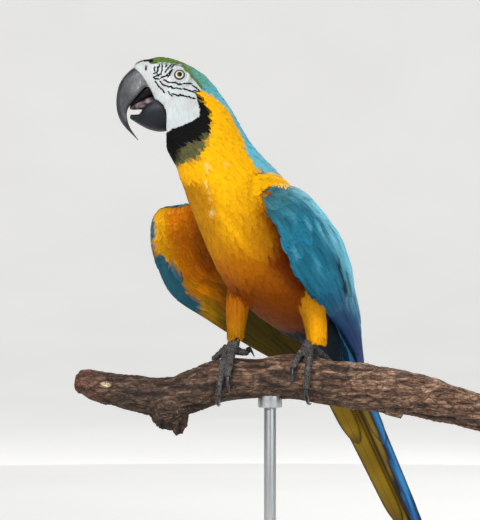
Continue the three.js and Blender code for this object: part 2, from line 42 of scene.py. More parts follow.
rng = np.random.default_rng(20)
MM = 0.001
HEAD_Y = -66  # the head's mid plane, mm
EYE_X, EYE_Z = -88.3, 593.3  # the eyes' place in the head's side view, mm
EYE_OUT = 22.4  # from the head's mid plane to the front of an eye, mm
EYE_RADIUS = 9.5
EYE_SUNK = 7.2  # from the front of the lids back to the eyeball's centre, mm
EYE_TILT = math.radians(19)
NOSTRIL_X, NOSTRIL_Z, NOSTRIL_OUT = -120.9, 601.2, 14
NOSTRIL_SIZE = (1.1, 8, 2.9)  # half sizes along x, y and z, mm
SWELL = 0.5  # how far the flesh is swollen to close its gaps, mm
DOUBLES = 0.02  # points closer than this are one, mm
SKIN_VOXEL, FOOT_VOXEL, CLAW_VOXEL, BRANCH_VOXEL = 2.2, 1.06, 0.5, 1.4  # mm
DOWN_HALF, THIN_HALF, STIFF_HALF = 0.00016, 0.0003, 0.00045  # half the thickness of a feather, metres
FLOOR_RADIUS = 2.6  # of the studio's floor, metres
AXIS_ROWS = 341
WING_ROWS = 200


# ---------------------------------------------------------------- colours

def linear(code):
    """An sRGB hex colour as linear red, green and blue."""
    c = np.array([int(code[i : i + 2], 16) / 255 for i in (1, 3, 5)])
    return np.where(c <= 0.04045, c / 12.92, ((c + 0.055) / 1.055) ** 2.4)


def shade(code):
    return (*linear(code), 1.0)


BREAST = linear("#FDB806")
AMBER = linear("#D08A06")
LOW_AMBER = linear("#BA6A02")
DEEP_AMBER = linear("#864001")
WING_SHADOW_BROWN = linear("#6E2A02")
PALE_DOWN = linear("#F0D890")
FOREHEAD = linear("#5F7A38")
NAPE = linear("#5CA292")
BACK = linear("#62BDD2")
BIB = linear("#101011")
FRINGE = linear("#46533D")
FACE = linear("#BAC3C5")
MOUTH = linear("#1A1618")
RIM = linear("#5C594E")
TEAL = linear("#22748F")
CYAN = linear("#82D8EE")
SHOULDER_TEAL = linear("#366872")
WING_DEEP = linear("#053A76")
UNDER_YELLOW = linear("#DC9E0A")
UNDER_ORANGE = linear("#CC7404")
UNDER_SHADE_BROWN = linear("#8C4803")
SLATE = linear("#2C6478")
OLIVE_GOLD = linear("#8C6E0E")
OLIVE_DARK = linear("#4E400C")
QUILL_DARK = linear("#14120C")
SHADE_NAVY = linear("#14222C")
ROOT_UNDER_SHADE = linear("#1D465F")
ROOT_UPPER_DARK = linear("#1E5A8C")
ROOT_UPPER_LIGHT = linear("#2F86AC")
THIGH_GOLD = linear("#F0A404")
TAIL_BLUE = linear("#2C7CC8")
TAIL_TIP_BLUE = linear("#2150A0")
PALE_GOLD = linear("#A88414")
STRIP_DARK = linear("#124A8C")
STRIP_HIGHLIGHT = linear("#3E9AE0")
FOOT_GREY = linear("#38363A")
CRACK_SHADE_BROWN = linear("#3A261B")
WOOD_BROWN = linear("#7C5A44")
RIDGE_HIGHLIGHT_WOOD = linear("#AE8C72")
RED_WOOD = linear("#6E3A2C")
CHIPPED_WOOD = linear("#CDB393")
CUT_WOOD = linear("#B08A62")
BROKEN_WOOD = linear("#5A2A20")


# ---------------------------------------------------------------- numbers

def smooth(start, end, value):
    """An eased step from 0 at `start` to 1 at `end`."""
    t = np.clip((value - start) / (end - start), 0, 1)
    return t * t * (3 - 2 * t)


def mix(a, b, amount):
    amount = np.asarray(amount)[..., None]
    return a * (1 - amount) + b * amount


def unit(v):
    return v / np.maximum(np.linalg.norm(v, axis=-1, keepdims=True), 1e-12)


def signed_power(value, power):
    """A power that keeps the sign."""
    return np.sign(value) * np.abs(value) ** power


def wobble(points, size, seed=0):
    """Smooth variation, mostly between -1 and 1, with humps about `size` millimetres apart."""
    turn = np.random.default_rng(seed)
    total = 0
    for _ in range(5):
        wave = turn.normal(size=3)
        wave *= 2 * math.pi / (size * MM) / np.linalg.norm(wave) * turn.uniform(0.7, 1.4)
        total = total + np.sin(points @ wave + turn.uniform(0, 6.3))
    return total / 3.2


def through(rows, count):
    """Catmull-Rom through rows of numbers, resampled to `count` rows."""
    rows = np.array(rows, float)
    s = np.linspace(0, len(rows) - 1, count)
    k = np.minimum(s.astype(int), len(rows) - 2)
    f = (s - k)[:, None]
    a, b, d, e = (rows[np.clip(k + j, 0, len(rows) - 1)] for j in (-1, 0, 1, 2))
    return 0.5 * (2 * b + (d - a) * f + (2 * a - 5 * b + 4 * d - e) * f**2 + (3 * b - a - 3 * d + e) * f**3)


def directions(yaw, pitch):
    """Forward, back and left of a bird that faces `yaw` degrees from -Y towards -X, pitched up `pitch`."""
    y, p = np.radians(yaw), np.radians(pitch)
    forward = np.stack([-np.sin(y) * np.cos(p), -np.cos(y) * np.cos(p), np.sin(p)], -1)
    back = np.stack([np.sin(y) * np.sin(p), np.cos(y) * np.sin(p), np.cos(p)], -1)
    left = np.stack([np.cos(y), -np.sin(y), 0 * y], -1)
    return forward, back, left


def side_view(outline, x, z):
    """Signed distance in mm of points to a closed outline in the head's side view, positive inside."""
    p = np.stack([x, z], -1)
    a = np.array(outline, float)
    b = np.roll(a, -1, axis=0)
    near = np.full(len(p), 1e9)
    inside = np.zeros(len(p), bool)
    for (ax, az), (bx, bz) in zip(a, b):
        edge = np.array([bx - ax, bz - az])
        t = np.clip(((p - (ax, az)) @ edge) / (edge @ edge), 0, 1)
        near = np.minimum(near, np.linalg.norm(p - (ax, az) - t[:, None] * edge, axis=1))
        crosses = ((az > z) != (bz > z)) & (x < (bx - ax) * (z - az) / (bz - az + 1e-12) + ax)
        inside ^= crosses
    return np.where(inside, near, -near)


# ---------------------------------------------------------------- the body's axis

# From the tail base to the cere: [x, y, z, yaw, pitch], mm and degrees.
AXIS = [
    [80, 131, 286, 26, 43], [70, 111.5, 306, 26, 43], [60, 92, 327, 26, 43], [48.5, 77, 341, 28, 44],
    [37, 65, 354, 31, 47], [23, 48, 379, 33, 48], [7, 26, 410, 35, 49], [-8, 5, 440, 35, 49],
    [-23, -17, 470, 37, 50], [-43, -37, 497, 48, 51], [-56, -51, 518, 63, 50], [-66, -60, 535.5, 78, 39],
    [-78.5, -64, 552.5, 87, 26], [-89.5, -66, 562.5, 90, 15], [-99.5, -66, 570, 90, 3],
    [-106.5, -66, 574, 90, -9], [-113, -66, 575, 90, -20], [-120.5, -66, 588, 90, -25],
]
axis_rows = through(AXIS, AXIS_ROWS)
axis_points = axis_rows[:, :3] * MM
axis_forward, axis_back, axis_left = directions(axis_rows[:, 3], axis_rows[:, 4])
axis_station = np.linspace(0, len(AXIS) - 1, AXIS_ROWS)


def along_body(points):
    """Station along the body's axis, angle round it in degrees (0 back, 90 left, 180 breast), and forward."""
    rows = []
    for part in np.array_split(points, max(1, len(points) // 3000)):
        gap = part[:, None, :] - axis_points[None]
        off = np.abs((gap * axis_forward[None]).sum(-1))
        rows.append(np.argmin(np.linalg.norm(gap, axis=-1) + 9 * off, axis=1))
    row = np.concatenate(rows)
    gap = points - axis_points[row]
    x, y = (gap * axis_left[row]).sum(-1), (gap * axis_back[row]).sum(-1)
    return axis_station[row], np.degrees(np.arctan2(x, y)), axis_forward[row]


# ---------------------------------------------------------------- wings

# [lead x, y, z, trail x, y, z, half thickness, camber] from the shoulder to the tip.
LEFT_WING = [
    [-8, -68, 476, 2, -62, 487, 4, 2], [-6, -70, 464, 15, -46, 489, 8, 7],
    [5, -67, 447, 29.5, -26, 483, 9.5, 12], [10, -62, 430, 39, -8, 474, 9.5, 15],
    [19, -50, 409, 52.5, 7, 459, 9, 16], [31, -32, 389, 67, 24, 440.5, 8, 15],
    [49, -4, 369, 79, 41, 411, 6.5, 11], [61, 22, 355.5, 85.5, 58, 389, 5, 7],
    [76, 52, 339, 92.5, 78, 362.5, 4, 4], [86.5, 82, 321, 96, 99, 336, 3, 3],
    [95, 114, 300, 99.5, 122.5, 311, 2.2, 2], [103, 152, 273, 105.5, 153, 276.5, 1.2, 1],
]
RIGHT_WING = [
    [-111, 19, 468, -56, 10, 474, 5, 2], [-119, 20, 455, -50, 13, 472, 8, 4],
    [-120.5, 24, 436, -44, 22, 469, 9, 6], [-116, 38, 413, -42, 38, 464, 8.5, 8],
    [-99.5, 60, 378, -34, 63, 438, 7, 8], [-66, 88, 354, -8, 92, 405, 5.5, 7],
    [-25, 122, 327, 14, 125, 362, 4, 5], [20, 158, 301, 40, 161, 318, 2.6, 3],
    [43, 179, 285.5, 46, 180, 288.5, 1.2, 1],
]


class Wing:
    """The surface that a wing's feathers lie on: share 0 at the shoulder to 1 at the tip, chord -1 at
    the leading edge to 1 at the trailing edge, and out from it on the upper side."""

    def __init__(self, table, upper_side):
        rows = through(table, WING_ROWS + 1)
        self.middle = (rows[:, :3] + rows[:, 3:6]) * MM / 2
        self.chord = (rows[:, 3:6] - rows[:, :3]) * MM / 2
        self.thick, self.camber = rows[:, 6] * MM, rows[:, 7] * MM
        self.along = unit(np.gradient(self.middle, axis=0))
        out = unit(np.cross(self.along, self.chord))
        self.out = np.where((out @ np.array(upper_side) < 0)[:, None], -out, out)

    def row(self, values, share):
        at = np.clip(share, 0, 1) * WING_ROWS
        low = np.minimum(at.astype(int), WING_ROWS - 1)
        f = at - low
        f = f[..., None] if values.ndim > 1 else f
        return values[low] * (1 - f) + values[low + 1] * f

    def place(self, share, chord, lift):
        """Point on the surface; lift 1 is the upper skin, -1 the lower."""
        round_off = np.maximum(1 - chord**2, 0)
        out = self.row(self.camber, share) * round_off + self.row(self.thick, share) * lift * round_off**0.4
        on_chord = self.row(self.middle, share) + self.row(self.chord, share) * chord[..., None]
        return on_chord + self.row(self.out, share) * out[..., None]

    def find(self, points):
        """Share, chord and the along and out directions nearest to each point."""
        gap = points[:, None, :] - self.middle[None]
        chord = (gap * self.chord).sum(-1) / (self.chord**2).sum(-1)
        off = np.linalg.norm(gap - self.chord * chord[..., None], axis=-1)
        row = np.argmin(off, axis=1)
        return row / WING_ROWS, chord[np.arange(len(points)), row], self.along[row], self.out[row]


left_wing = Wing(LEFT_WING, directions(np.array(35.0), np.array(49.0))[2])
right_wing = Wing(RIGHT_WING, (-0.41, 0.8, 0.44))


# ---------------------------------------------------------------- markings, the same on skin and feathers

# Outlines in the side view along Y, (x, z) in mm. First the bare white face and the black bib behind it.
BARE_FACE = [
    (-136, 602), (-131.3, 605), (-126.4, 608), (-119.6, 608.2), (-116.7, 605.2), (-109.3, 605.2),
    (-95.7, 604.4), (-87, 602), (-81.2, 597.4), (-75.5, 591), (-70.6, 585), (-66.7, 578.7), (-72.6, 576.4),
    (-71, 568.3), (-68.1, 560.6), (-69.5, 552.3), (-81.1, 546.1), (-96.5, 540.3), (-101.5, 537), (-112, 534),
    (-134, 560),
]
BLACK_BIB = [
    (-72.6, 578.4), (-68.5, 573.5), (-63.8, 565.6), (-59, 556.9), (-58, 549.2), (-60.2, 540), (-68, 532.7),
    (-81, 528.5), (-89.5, 521), (-93, 511), (-100, 508), (-112, 520), (-112, 536), (-96, 545), (-80, 552),
]
BIB_FRINGE = [
    (-62, 548), (-60, 538), (-66, 523), (-71, 514.5), (-82, 511), (-92, 506.5), (-100, 506), (-96, 530),
    (-70, 540),
]
# Yellow feathers that lie over the top of the folded wing.
SHOULDER_PATCH = [
    (-12.4, 484.2), (-6.6, 486.7), (-3.7, 489.6), (2.7, 491.1), (10.9, 490.1), (18.8, 487.6), (23.4, 487),
    (24, 490.1), (20.7, 495.5), (10.9, 498.4), (-3.7, 499.6), (-12.4, 496.9),
]
# Painted shade: black in the gaps between the inner feathers of the folded wing.
WING_GAP_SHADE = [
    [(64.6, 420), (67, 419.5), (72.4, 402), (69.8, 401)],
    [(70.8, 399.5), (74.5, 397), (78, 383), (76, 378.5), (72.6, 386)],
]
# Blue along the opened wing's leading edge, seen from below.
LEADING_BLUE = [
    (-113.7, 466.8), (-114.8, 460.7), (-115.8, 450.5), (-114.8, 442.4), (-115.8, 432.3), (-114.2, 425.1),
    (-116.8, 418), (-107.1, 423.6), (-102.1, 417), (-98, 412), (-93.9, 405.9), (-88.9, 401.3), (-87.9, 393.7),
    (-86.1, 386.6), (-80.8, 381.5), (-75, 377.4), (-71.6, 371.4), (-67.6, 365.3), (-80.8, 350), (-103.1, 366),
    (-126, 395), (-136, 435.3), (-136, 470), (-121.3, 478),
]
# Where the blue of the nape and back meets the yellow: station and degrees from the back.
BLUE_EDGE = [
    (2.5, 34), (4.2, 50), (5.2, 82), (7.8, 92), (8.5, 80), (8.87, 74), (9.29, 75), (9.69, 65), (9.95, 51),
    (10.34, 39), (10.82, 25), (11.25, 28), (11.67, 32), (12.04, 36), (12.4, 60), (18, 90),
]
# Pale down that shows where the breast feathers part: (x, z, radius), mm.
PARTED = [(-62, 506, 6), (-47, 510, 4), (-63, 489, 5), (-57, 465, 6), (-61, 478, 4)]


def inside(outline, p, ragged, size, seed):
    """Distance in mm inside an outline of the side view, made ragged by a smooth variation."""
    return side_view(outline, p[:, 0] / MM, p[:, 2] / MM) + ragged * wobble(p, size, seed)


def on_tuft(p):
    """How far a point belongs to the yellow tuft over the folded wing, 0 to 1."""
    return smooth(-0.8, 0.8, inside(SHOULDER_PATCH, p, 0.5, 8, 15))


def breast_colour(p, station, angle):
    """Golden yellow that deepens to amber on the belly, partly its own colour and partly painted shade.
    Painted shade also ambers its sides, and a painted shadow of the wing makes the flanks under the wings
    darkest.
    """
    x, z = p[:, 0] / MM, p[:, 2] / MM
    level = z + 5 * wobble(p, 30, 13)
    # Darker downwards: partly the belly's own amber and partly painted shade.
    colour = mix(BREAST, LOW_AMBER, smooth(460, 408, level))
    colour = mix(colour, DEEP_AMBER, smooth(414, 380, level))
    # Degrees from the middle of the breast, positive on the bird's right, and how wide it stays bright before
    # the painted shade at its sides.
    round_breast = (angle % 360) - 180 + 5 * wobble(p, 26, 3)
    reach = np.interp(level, [380, 400, 415, 430, 460, 475, 490], [40, 20, 13, 26, 36, 54, 76])
    right = smooth(-22, 8, round_breast + 18 * smooth(8.1, 9.1, station))
    right = right * smooth(10.1, 9.7, station) * smooth(96, 36, round_breast)
    left = smooth(20 - reach, -14 - reach, round_breast) * smooth(9.35, 8.8, station)
    # Painted shade: amber at the breast's edge on the bird's right and on its left side towards the folded
    # wing.
    colour = mix(colour, AMBER * 0.8, 0.9 * np.maximum(right, left) * smooth(412, 446, level))
    # Painted shadow of the folded wing: brown on the flank under it.
    deepest = smooth(9.2, 8.7, station) * smooth(-reach, -32 - reach, round_breast)
    colour = mix(colour, WING_SHADOW_BROWN, 0.95 * deepest)
    for px, pz, radius in PARTED:
        near = np.hypot((x - px) * 1.8, (z - pz) * 0.8) + 1.6 * wobble(p, 5, 8)
        colour = mix(colour, PALE_DOWN, 0.5 * smooth(radius, radius * 0.2, near) * (p[:, 1] < -0.02))
    return colour


def back_colour(p, station):
    """Green forehead that turns to blue on the nape, back and rump."""
    colour = mix(BACK, CYAN * 0.8, smooth(9.6, 8.4, station))
    colour = mix(colour, NAPE, smooth(11.3, 12.4, station))
    return mix(colour, FOREHEAD, smooth(12.6, 13.4, station + 0.12 * wobble(p, 6, 6)))


def body_colour(p):
    """All the markings from the cere to the tail base."""
    station, angle, _forward = along_body(p)
    x, z = p[:, 0] / MM, p[:, 2] / MM
    colour = breast_colour(p, station, angle)
    # Painted shade: the vent and the feathers under the tail are painted dark navy.
    colour = mix(colour, SHADE_NAVY, smooth(4.7, 4.1, station + 0.1 * wobble(p, 26, 3)))
    # The blue reaches farther round on the right of the rump and on the left of the back, by the wings.
    edge = np.interp(station, *np.array(BLUE_EDGE).T) + 2.5 * wobble(p, 9, 5)
    edge = edge + 40 * (angle < 0) * smooth(6.2, 4.8, station)
    edge = edge + 12 * (angle > 0) * smooth(6.2, 7, station) * smooth(9.0, 8.6, station)
    blue = smooth(edge + 2.5, edge - 2.5, np.abs(angle))
    face_edge = side_view(BARE_FACE, x, z)
    green_rim = smooth(-3.4, -1.2, face_edge) * smooth(577, 582, z)
    rear = mix(back_colour(p, station), FOREHEAD, green_rim)
    colour = mix(colour, rear, np.maximum(blue, green_rim * (station > 11.6)))
    colour = mix(colour, BREAST * 0.9, on_tuft(p) * smooth(5, -1, p[:, 1] / MM))
    # The head's markings: fringe, black bib, chin and brow, then the bare face.
    head = station > 10.2
    fringe = smooth(-3.2, 2.5, inside(BIB_FRINGE, p, 2.2, 5, 11)) * head
    colour = mix(colour, mix(FRINGE, BREAST * 0.3, 0.06 + 0.12 * wobble(p, 4, 17)), fringe * 0.97)
    bib = smooth(-1.4, 1.2, inside(BLACK_BIB, p, 1.3, 5, 12)) * head
    under_chin = smooth(-86, -92, x) * smooth(534, 530, z) * smooth(512, 516, z) * head
    brow = smooth(-6.0, -5.0, face_edge) * smooth(-113, -116, x) * smooth(600, 602, z) * head
    colour = mix(colour, BIB, np.maximum(np.maximum(bib, under_chin), brow))
    face = smooth(-0.35, 0.35, face_edge) * head
    return mix(colour, FACE, face)


def thigh_colour(p, side):
    """Deep amber at the top and lighter below; the left thigh is lightest low on its outside. Painted shade
    darkens the right thigh all over and the left thigh on its inner side.
    """
    z = p[:, 2] / MM + 5 * wobble(p, 22, 4)
    # Painted shade: the right thigh is painted darker all over, and the left one darker on its inner side.
    low, high = (AMBER * 0.62, LOW_AMBER * 0.8) if side == "right" else (THIGH_GOLD, AMBER * 0.72)
    if side == "left":
        low = mix(AMBER * 0.62, low, smooth(35, 45, p[:, 0] / MM))
    colour = mix(low, high, smooth(346, 368, z))
    return mix(colour, DEEP_AMBER, smooth(382, 398, z))


def upper_wing_colour(share, chord, p):
    """Teal that pales towards the trailing edge, partly its own colour and partly painted light from above,
    with lanes of painted highlight and shade, and deepens to blue towards the tip.
    """
    # Painted highlights and shade: long light and dark lanes run down the wing, about 6 mm wide.
    lane = wobble(np.stack([share * 0.045, chord * 0.03, 0 * share], -1), 7, 22)
    # Paler towards the trailing edge: partly the wing's own cyan and partly painted light from above.
    colour = mix(TEAL, CYAN, smooth(-0.3, 0.6, chord + 0.3 * lane))
    colour = mix(colour, CYAN, 0.45 * smooth(0.3, 1.2, lane))
    shoulder = smooth(0.24, 0.05, share + 0.03 * wobble(p, 12, 14)) * smooth(1.3, 0.8, chord)
    colour = mix(colour, SHOULDER_TEAL, shoulder)
    colour = mix(colour, WING_DEEP, smooth(0.5, 0.82, share - 0.1 * chord + 0.03 * wobble(p, 14, 18)))
    # The dark lanes are painted shade.
    colour = colour * (1 - 0.5 * smooth(0.2, 1.3, -lane))[:, None]
    # Painted shade, black, in the gaps between the inner feathers.
    for outline in WING_GAP_SHADE:
        colour = mix(colour, BIB, smooth(-0.9, 0.5, inside(outline, p, 0.4, 6, 24)))
    return mix(colour, BREAST * 0.95, on_tuft(p))


def under_wing_colour(share, chord, p):
    """Yellow that browns towards the trailing edge, by the body, as painted shade, and goes olive at the tip;
    the leading edge is slate.
    """
    across = chord + 0.12 * wobble(p, 20, 9)
    colour = mix(UNDER_YELLOW, UNDER_ORANGE, smooth(-0.75, -0.3, across))
    # Painted shade: brown towards the trailing edge, by the body.
    colour = mix(colour, UNDER_SHADE_BROWN, smooth(-0.1, 0.5, across + 0.3 * smooth(0.25, 0.5, share)))
    colour = mix(colour, OLIVE_DARK, smooth(0.55, 0.7, share + 0.04 * wobble(p, 14, 2)))
    edge = side_view(LEADING_BLUE, p[:, 0] / MM + 1.2, p[:, 2] / MM + 1) + 1.3 * wobble(p, 8, 10)
    return mix(colour, SLATE, smooth(-0.7, 0.7, edge))


def wing_colour(wing, p, normal):
    """Blue above and yellow below; nearly all of the folded left wing counts as its upper side."""
    share, chord, _along, out = wing.find(p)
    upper = upper_wing_colour(share, chord, p)
    below = under_wing_colour(share, chord, p)
    turned = (normal * out).sum(-1) + (0.7 if wing is left_wing else 0)
    return mix(below, upper, smooth(-0.15, 0.15, turned))


# ---------------------------------------------------------------- making pieces

def activate(piece):
    bpy.ops.object.select_all(action="DESELECT")
    piece.select_set(True)
    bpy.context.view_layer.objects.active = piece


def shape_with(piece, kind, **settings):
    """Adds one modifier and applies it."""
    activate(piece)
    modifier = piece.modifiers.new(kind.lower(), kind)
    for key, value in settings.items():
        setattr(modifier, key, value)
    bpy.ops.object.modifier_apply(modifier=modifier.name)
    return piece


def face_outward(piece, merge=None):
    """Merges points closer than `merge` mm, if given, and turns all faces outward."""
    activate(piece)
    bpy.ops.object.mode_set(mode="EDIT")
    bpy.ops.mesh.select_all(action="SELECT")
    if merge:
        bpy.ops.mesh.remove_doubles(threshold=merge * MM)
    bpy.ops.mesh.normals_make_consistent(inside=False)
    bpy.ops.object.mode_set(mode="OBJECT")


def shade_softly(piece):
    piece.data.polygons.foreach_set("use_smooth", np.ones(len(piece.data.polygons), bool))


def remeshed(piece, voxel, rounds):
    """Joins a piece's forms into one even mesh with cells `voxel` mm wide, and smooths it."""
    shape_with(piece, "REMESH", mode="VOXEL", voxel_size=voxel * MM)
    return shape_with(piece, "SMOOTH", factor=0.5, iterations=rounds)


def merged_copy(node, name):
    """A copy of a CAD node's mesh with its loose triangles merged."""
    piece = bpy.data.objects.new(name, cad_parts[node].data.copy())
    bpy.context.scene.collection.objects.link(piece)
    piece.data.materials.clear()
    face_outward(piece, DOUBLES)
    return piece


def joined(pieces, name):
    """Several pieces as one object; its faces keep their materials."""
    bpy.ops.object.select_all(action="DESELECT")
    for piece in pieces:
        piece.select_set(True)
    bpy.context.view_layer.objects.active = pieces[0]
    bpy.ops.object.join()
    pieces[0].name = pieces[0].data.name = name
    return pieces[0]


def read_all(items, field, width, kind=float):
    """One field of all of a mesh's points, edges, faces or corners, as rows of `width` numbers."""
    values = np.empty(len(items) * width, kind)
    items.foreach_get(field, values)
    return values.reshape(-1, width)


def vertices_of(piece):
    """The places and normals of a piece's vertices."""
    vertices = piece.data.vertices
    return read_all(vertices, "co", 3), read_all(vertices, "normal", 3)


def move_vertices(piece, co):
    piece.data.vertices.foreach_set("co", co.ravel())
    piece.data.update()


def paint(piece, colours):
    """Linear colours, one for each vertex."""
    layer = piece.data.color_attributes.new("tint", "FLOAT_COLOR", "POINT")
    layer.data.foreach_set("color", np.hstack([colours, np.ones((len(colours), 1))]).ravel())


def set_values(piece, name, values):
    """A named number for each vertex, which a material reads."""
    layer = piece.data.attributes.new(name, "FLOAT", "POINT")
    layer.data.foreach_set("value", values.astype(np.float32))


def mesh_piece(name, points, polygons, material):
    """An object from points and groups of equal-sided polygons."""
    mesh = bpy.data.meshes.new(name)
    mesh.vertices.add(len(points))
    mesh.vertices.foreach_set("co", points.ravel())
    loops = np.concatenate([group.ravel() for group in polygons])
    sides = np.concatenate([np.full(len(group), group.shape[1]) for group in polygons])
    mesh.loops.add(len(loops))
    mesh.loops.foreach_set("vertex_index", loops.astype(np.int32))
    mesh.polygons.add(len(sides))
    mesh.polygons.foreach_set("loop_start", np.concatenate([[0], np.cumsum(sides)[:-1]]).astype(np.int32))
    mesh.update(calc_edges=True)
    if material:
        mesh.materials.append(material)
    piece = bpy.data.objects.new(name, mesh)
    bpy.context.scene.collection.objects.link(piece)
    return piece


def add_uv(piece, name, uv):
    """A UV map from one place for each vertex."""
    layer = piece.data.uv_layers.new(name=name)
    corner = read_all(piece.data.loops, "vertex_index", 1, np.int32).ravel()
    layer.data.foreach_set("uv", uv[corner].astype(np.float32).ravel())


def ring_faces(rings, sides):
    """Quads between rings of points, and a cap at each end."""
    i, j = np.meshgrid(np.arange(rings - 1), np.arange(sides), indexing="ij")
    a, b = i * sides + j, i * sides + (j + 1) % sides
    quads = np.stack([a, b, b + sides, a + sides], -1).reshape(-1, 4)
    caps = np.stack([np.arange(sides)[::-1], (rings - 1) * sides + np.arange(sides)])
    return quads, caps


def loft(name, rings, material):
    """A closed form through rings of points, (rings, sides, 3), with its faces outward."""
    quads, caps = ring_faces(*rings.shape[:2])
    piece = mesh_piece(name, rings.reshape(-1, 3), [quads, caps], material)
    face_outward(piece)
    shade_softly(piece)
    return piece


def tube_rings(path, count, sides):
    """Rings square to a path of [x, y, z, radius] rows in mm."""
    rows = through(path, count) * MM
    along = unit(np.gradient(rows[:, :3], axis=0))
    across = np.array([0.31, 0.87, 0.38])
    rings = []
    angle = np.linspace(0, 2 * math.pi, sides, endpoint=False)[:, None]
    for point, ahead in zip(rows, along):
        across = unit(across - ahead * (across @ ahead))
        up = np.cross(ahead, across)
        rings.append(point[:3] + point[3] * (np.cos(angle) * across + np.sin(angle) * up))
    return np.array(rings)


def vanes(name, sheet, up, thick, above, below, across, along, roots, material):
    """Feathers as one joined mesh of closed vanes. sheet (feathers, rows, columns, 3) is the middle
    surface of each, up (feathers, rows, 3) its outward side and thick (feathers, rows) half its
    thickness; above and below colour its two faces; across and along are the distances from shaft and
    quill. roots are the feathers' places on the skin's unwrap; without them each has a strip of its own."""
    count, rows, columns = sheet.shape[:3]
    ring = np.concatenate([np.arange(columns), np.arange(columns - 2, 0, -1)])
    u = np.linspace(-1, 1, columns)[ring]
    is_top = np.arange(len(ring)) < columns
    bulge = np.where(is_top, 1.0, -1.0) * (1 - u**2)
    points = sheet[:, :, ring] + up[:, :, None] * (thick[..., None] * bulge)[..., None]
    quads, caps = ring_faces(rows, len(ring))
    start = (np.arange(count) * rows * len(ring))[:, None, None]
    faces = [(quads + start).reshape(-1, 4), (caps + start).reshape(-1, len(ring))]
    piece = mesh_piece(name, points.reshape(-1, 3), faces, material)
    colour = np.where(is_top[:, None], above[:, :, ring], below[:, :, ring])
    paint(piece, np.clip(colour, 0, 1).reshape(-1, 3))
    part = np.linspace(-1, 1, rows)[None, :, None]
    if roots is None:
        turned = np.where(is_top, 0.25 + 0.22 * u, 0.75 - 0.22 * u)
        bake = (np.arange(count)[:, None, None] + turned) / count, 0.5 + 0.49 * part
    else:
        bake = roots[:, 0, None, None] + 0.0015 * u, roots[:, 1, None, None] + 0.0015 * part
    for layer, (a, b) in (("OFBake", bake), ("vane", (across[:, :, ring], along[..., None]))):
        uv = np.broadcast_arrays(a, b, np.zeros((count, rows, len(ring))))[:2]
        add_uv(piece, layer, np.stack(uv, -1).reshape(-1, 2))
    # The vanes are shaded as the soft even surface they make together.
    lean = unit(sheet[:, :, -1] - sheet[:, :, 0])[:, :, None] * (0.3 * u)[:, None]
    row, spot = quads // len(ring), quads % len(ring)
    facing = np.where(spot[:, :1] < columns - 1, 1.0, -1.0)[..., None]
    soft = unit(up[:, row] * facing + lean[:, row, spot])
    ends = unit(sheet[:, [0, -1], columns // 2] - sheet[:, [1, -2], columns // 2])
    ends = np.repeat(ends[:, :, None], len(ring), axis=2)
    piece.data.normals_split_custom_set(np.concatenate([soft.reshape(-1, 3), ends.reshape(-1, 3)]).tolist())
    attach(piece, "root")
    return piece


# ---------------------------------------------------------------- materials

def give(tree, socket, value):
    """Links the socket to another node's output, or sets it to a plain value."""
    if isinstance(value, bpy.types.NodeSocket):
        tree.links.new(value, socket)
    else:
        socket.default_value = value


def add(tree, kind, inputs=(), out=0, stops=(), **settings):
    """Adds one node with its settings, a ramp's (position, hex) stops and a value or a link for each
    input, by name or in order. Returns the output asked for."""
    node = tree.nodes.new("ShaderNode" + kind)
    for key, value in settings.items():
        setattr(node, key, value)
    for name, value in inputs.items() if isinstance(inputs, dict) else enumerate(inputs):
        give(tree, node.inputs[name], value)
    if stops:
        elements = node.color_ramp.elements
        while len(elements) < len(stops):
            elements.new(0.5)
        for element, (position, code) in zip(elements, stops):
            element.position = position
            element.color = shade(code)
    return node.outputs[out]


def new_material(name):
    """A material with its node tree and shader, and the place on the piece that its patterns read."""
    material = bpy.data.materials.new(name)
    material.use_nodes = True
    tree = material.node_tree
    return material, tree, tree.nodes["Principled BSDF"], add(tree, "TexCoord", out="Object")


def connect(tree, shader, **sockets):
    """Sets or links the shader's sockets, each named with _ for a space."""
    for name, value in sockets.items():
        give(tree, shader.inputs[name.replace("_", " ")], value)


def feather_keratin(name, barb_mm, contrast, roughness, shaft):
    """Feather keratin: barbs lie side by side and slope away from the shaft. They give a fine
    herringbone that is soft at the edges, with a little sheen when seen along the surface. Real barbs
    are 0.3 mm apart, too fine to show, so they are drawn wider."""
    material, tree, shader, position = new_material(name)
    tint = add(tree, "Attribute", attribute_name="tint")
    across = add(tree, "SeparateXYZ", (add(tree, "UVMap", uv_map="vane"),), out="X")
    along = across.node.outputs["Y"]
    away = add(tree, "Math", (across,), operation="ABSOLUTE")
    slope = add(tree, "Math", (away, -1.1, along), operation="MULTIPLY_ADD")
    phase = add(tree, "Math", (slope, 2 * math.pi / (barb_mm * MM)), operation="MULTIPLY")
    wave = add(tree, "Math", (phase,), operation="SINE")
    barb = add(tree, "Math", (wave, contrast, 1.0 - contrast), operation="MULTIPLY_ADD")
    streak = add(tree, "TexNoise", {"Vector": position, "Scale": 420.0, "Detail": 3.0, "Roughness": 0.6})
    patch = add(tree, "MapRange", (streak, 0.3, 0.7, 0.9, 1.08))
    tone = add(tree, "Math", (barb, patch), operation="MULTIPLY")
    quill = add(tree, "MapRange", (away, 0.0003, 0.0008, shaft, 1.0))
    tone = add(tree, "Math", (tone, quill), operation="MULTIPLY")
    colour = add(tree, "VectorMath", {0: tint, "Scale": tone}, operation="SCALE")
    height = add(tree, "Math", (wave, streak), operation="ADD")
    bump = add(tree, "Bump", {"Height": height, "Strength": 0.3, "Distance": 0.0002})
    connect(tree, shader, Base_Color=colour, Normal=bump, Roughness=roughness, Specular_IOR_Level=0.07)
    return material


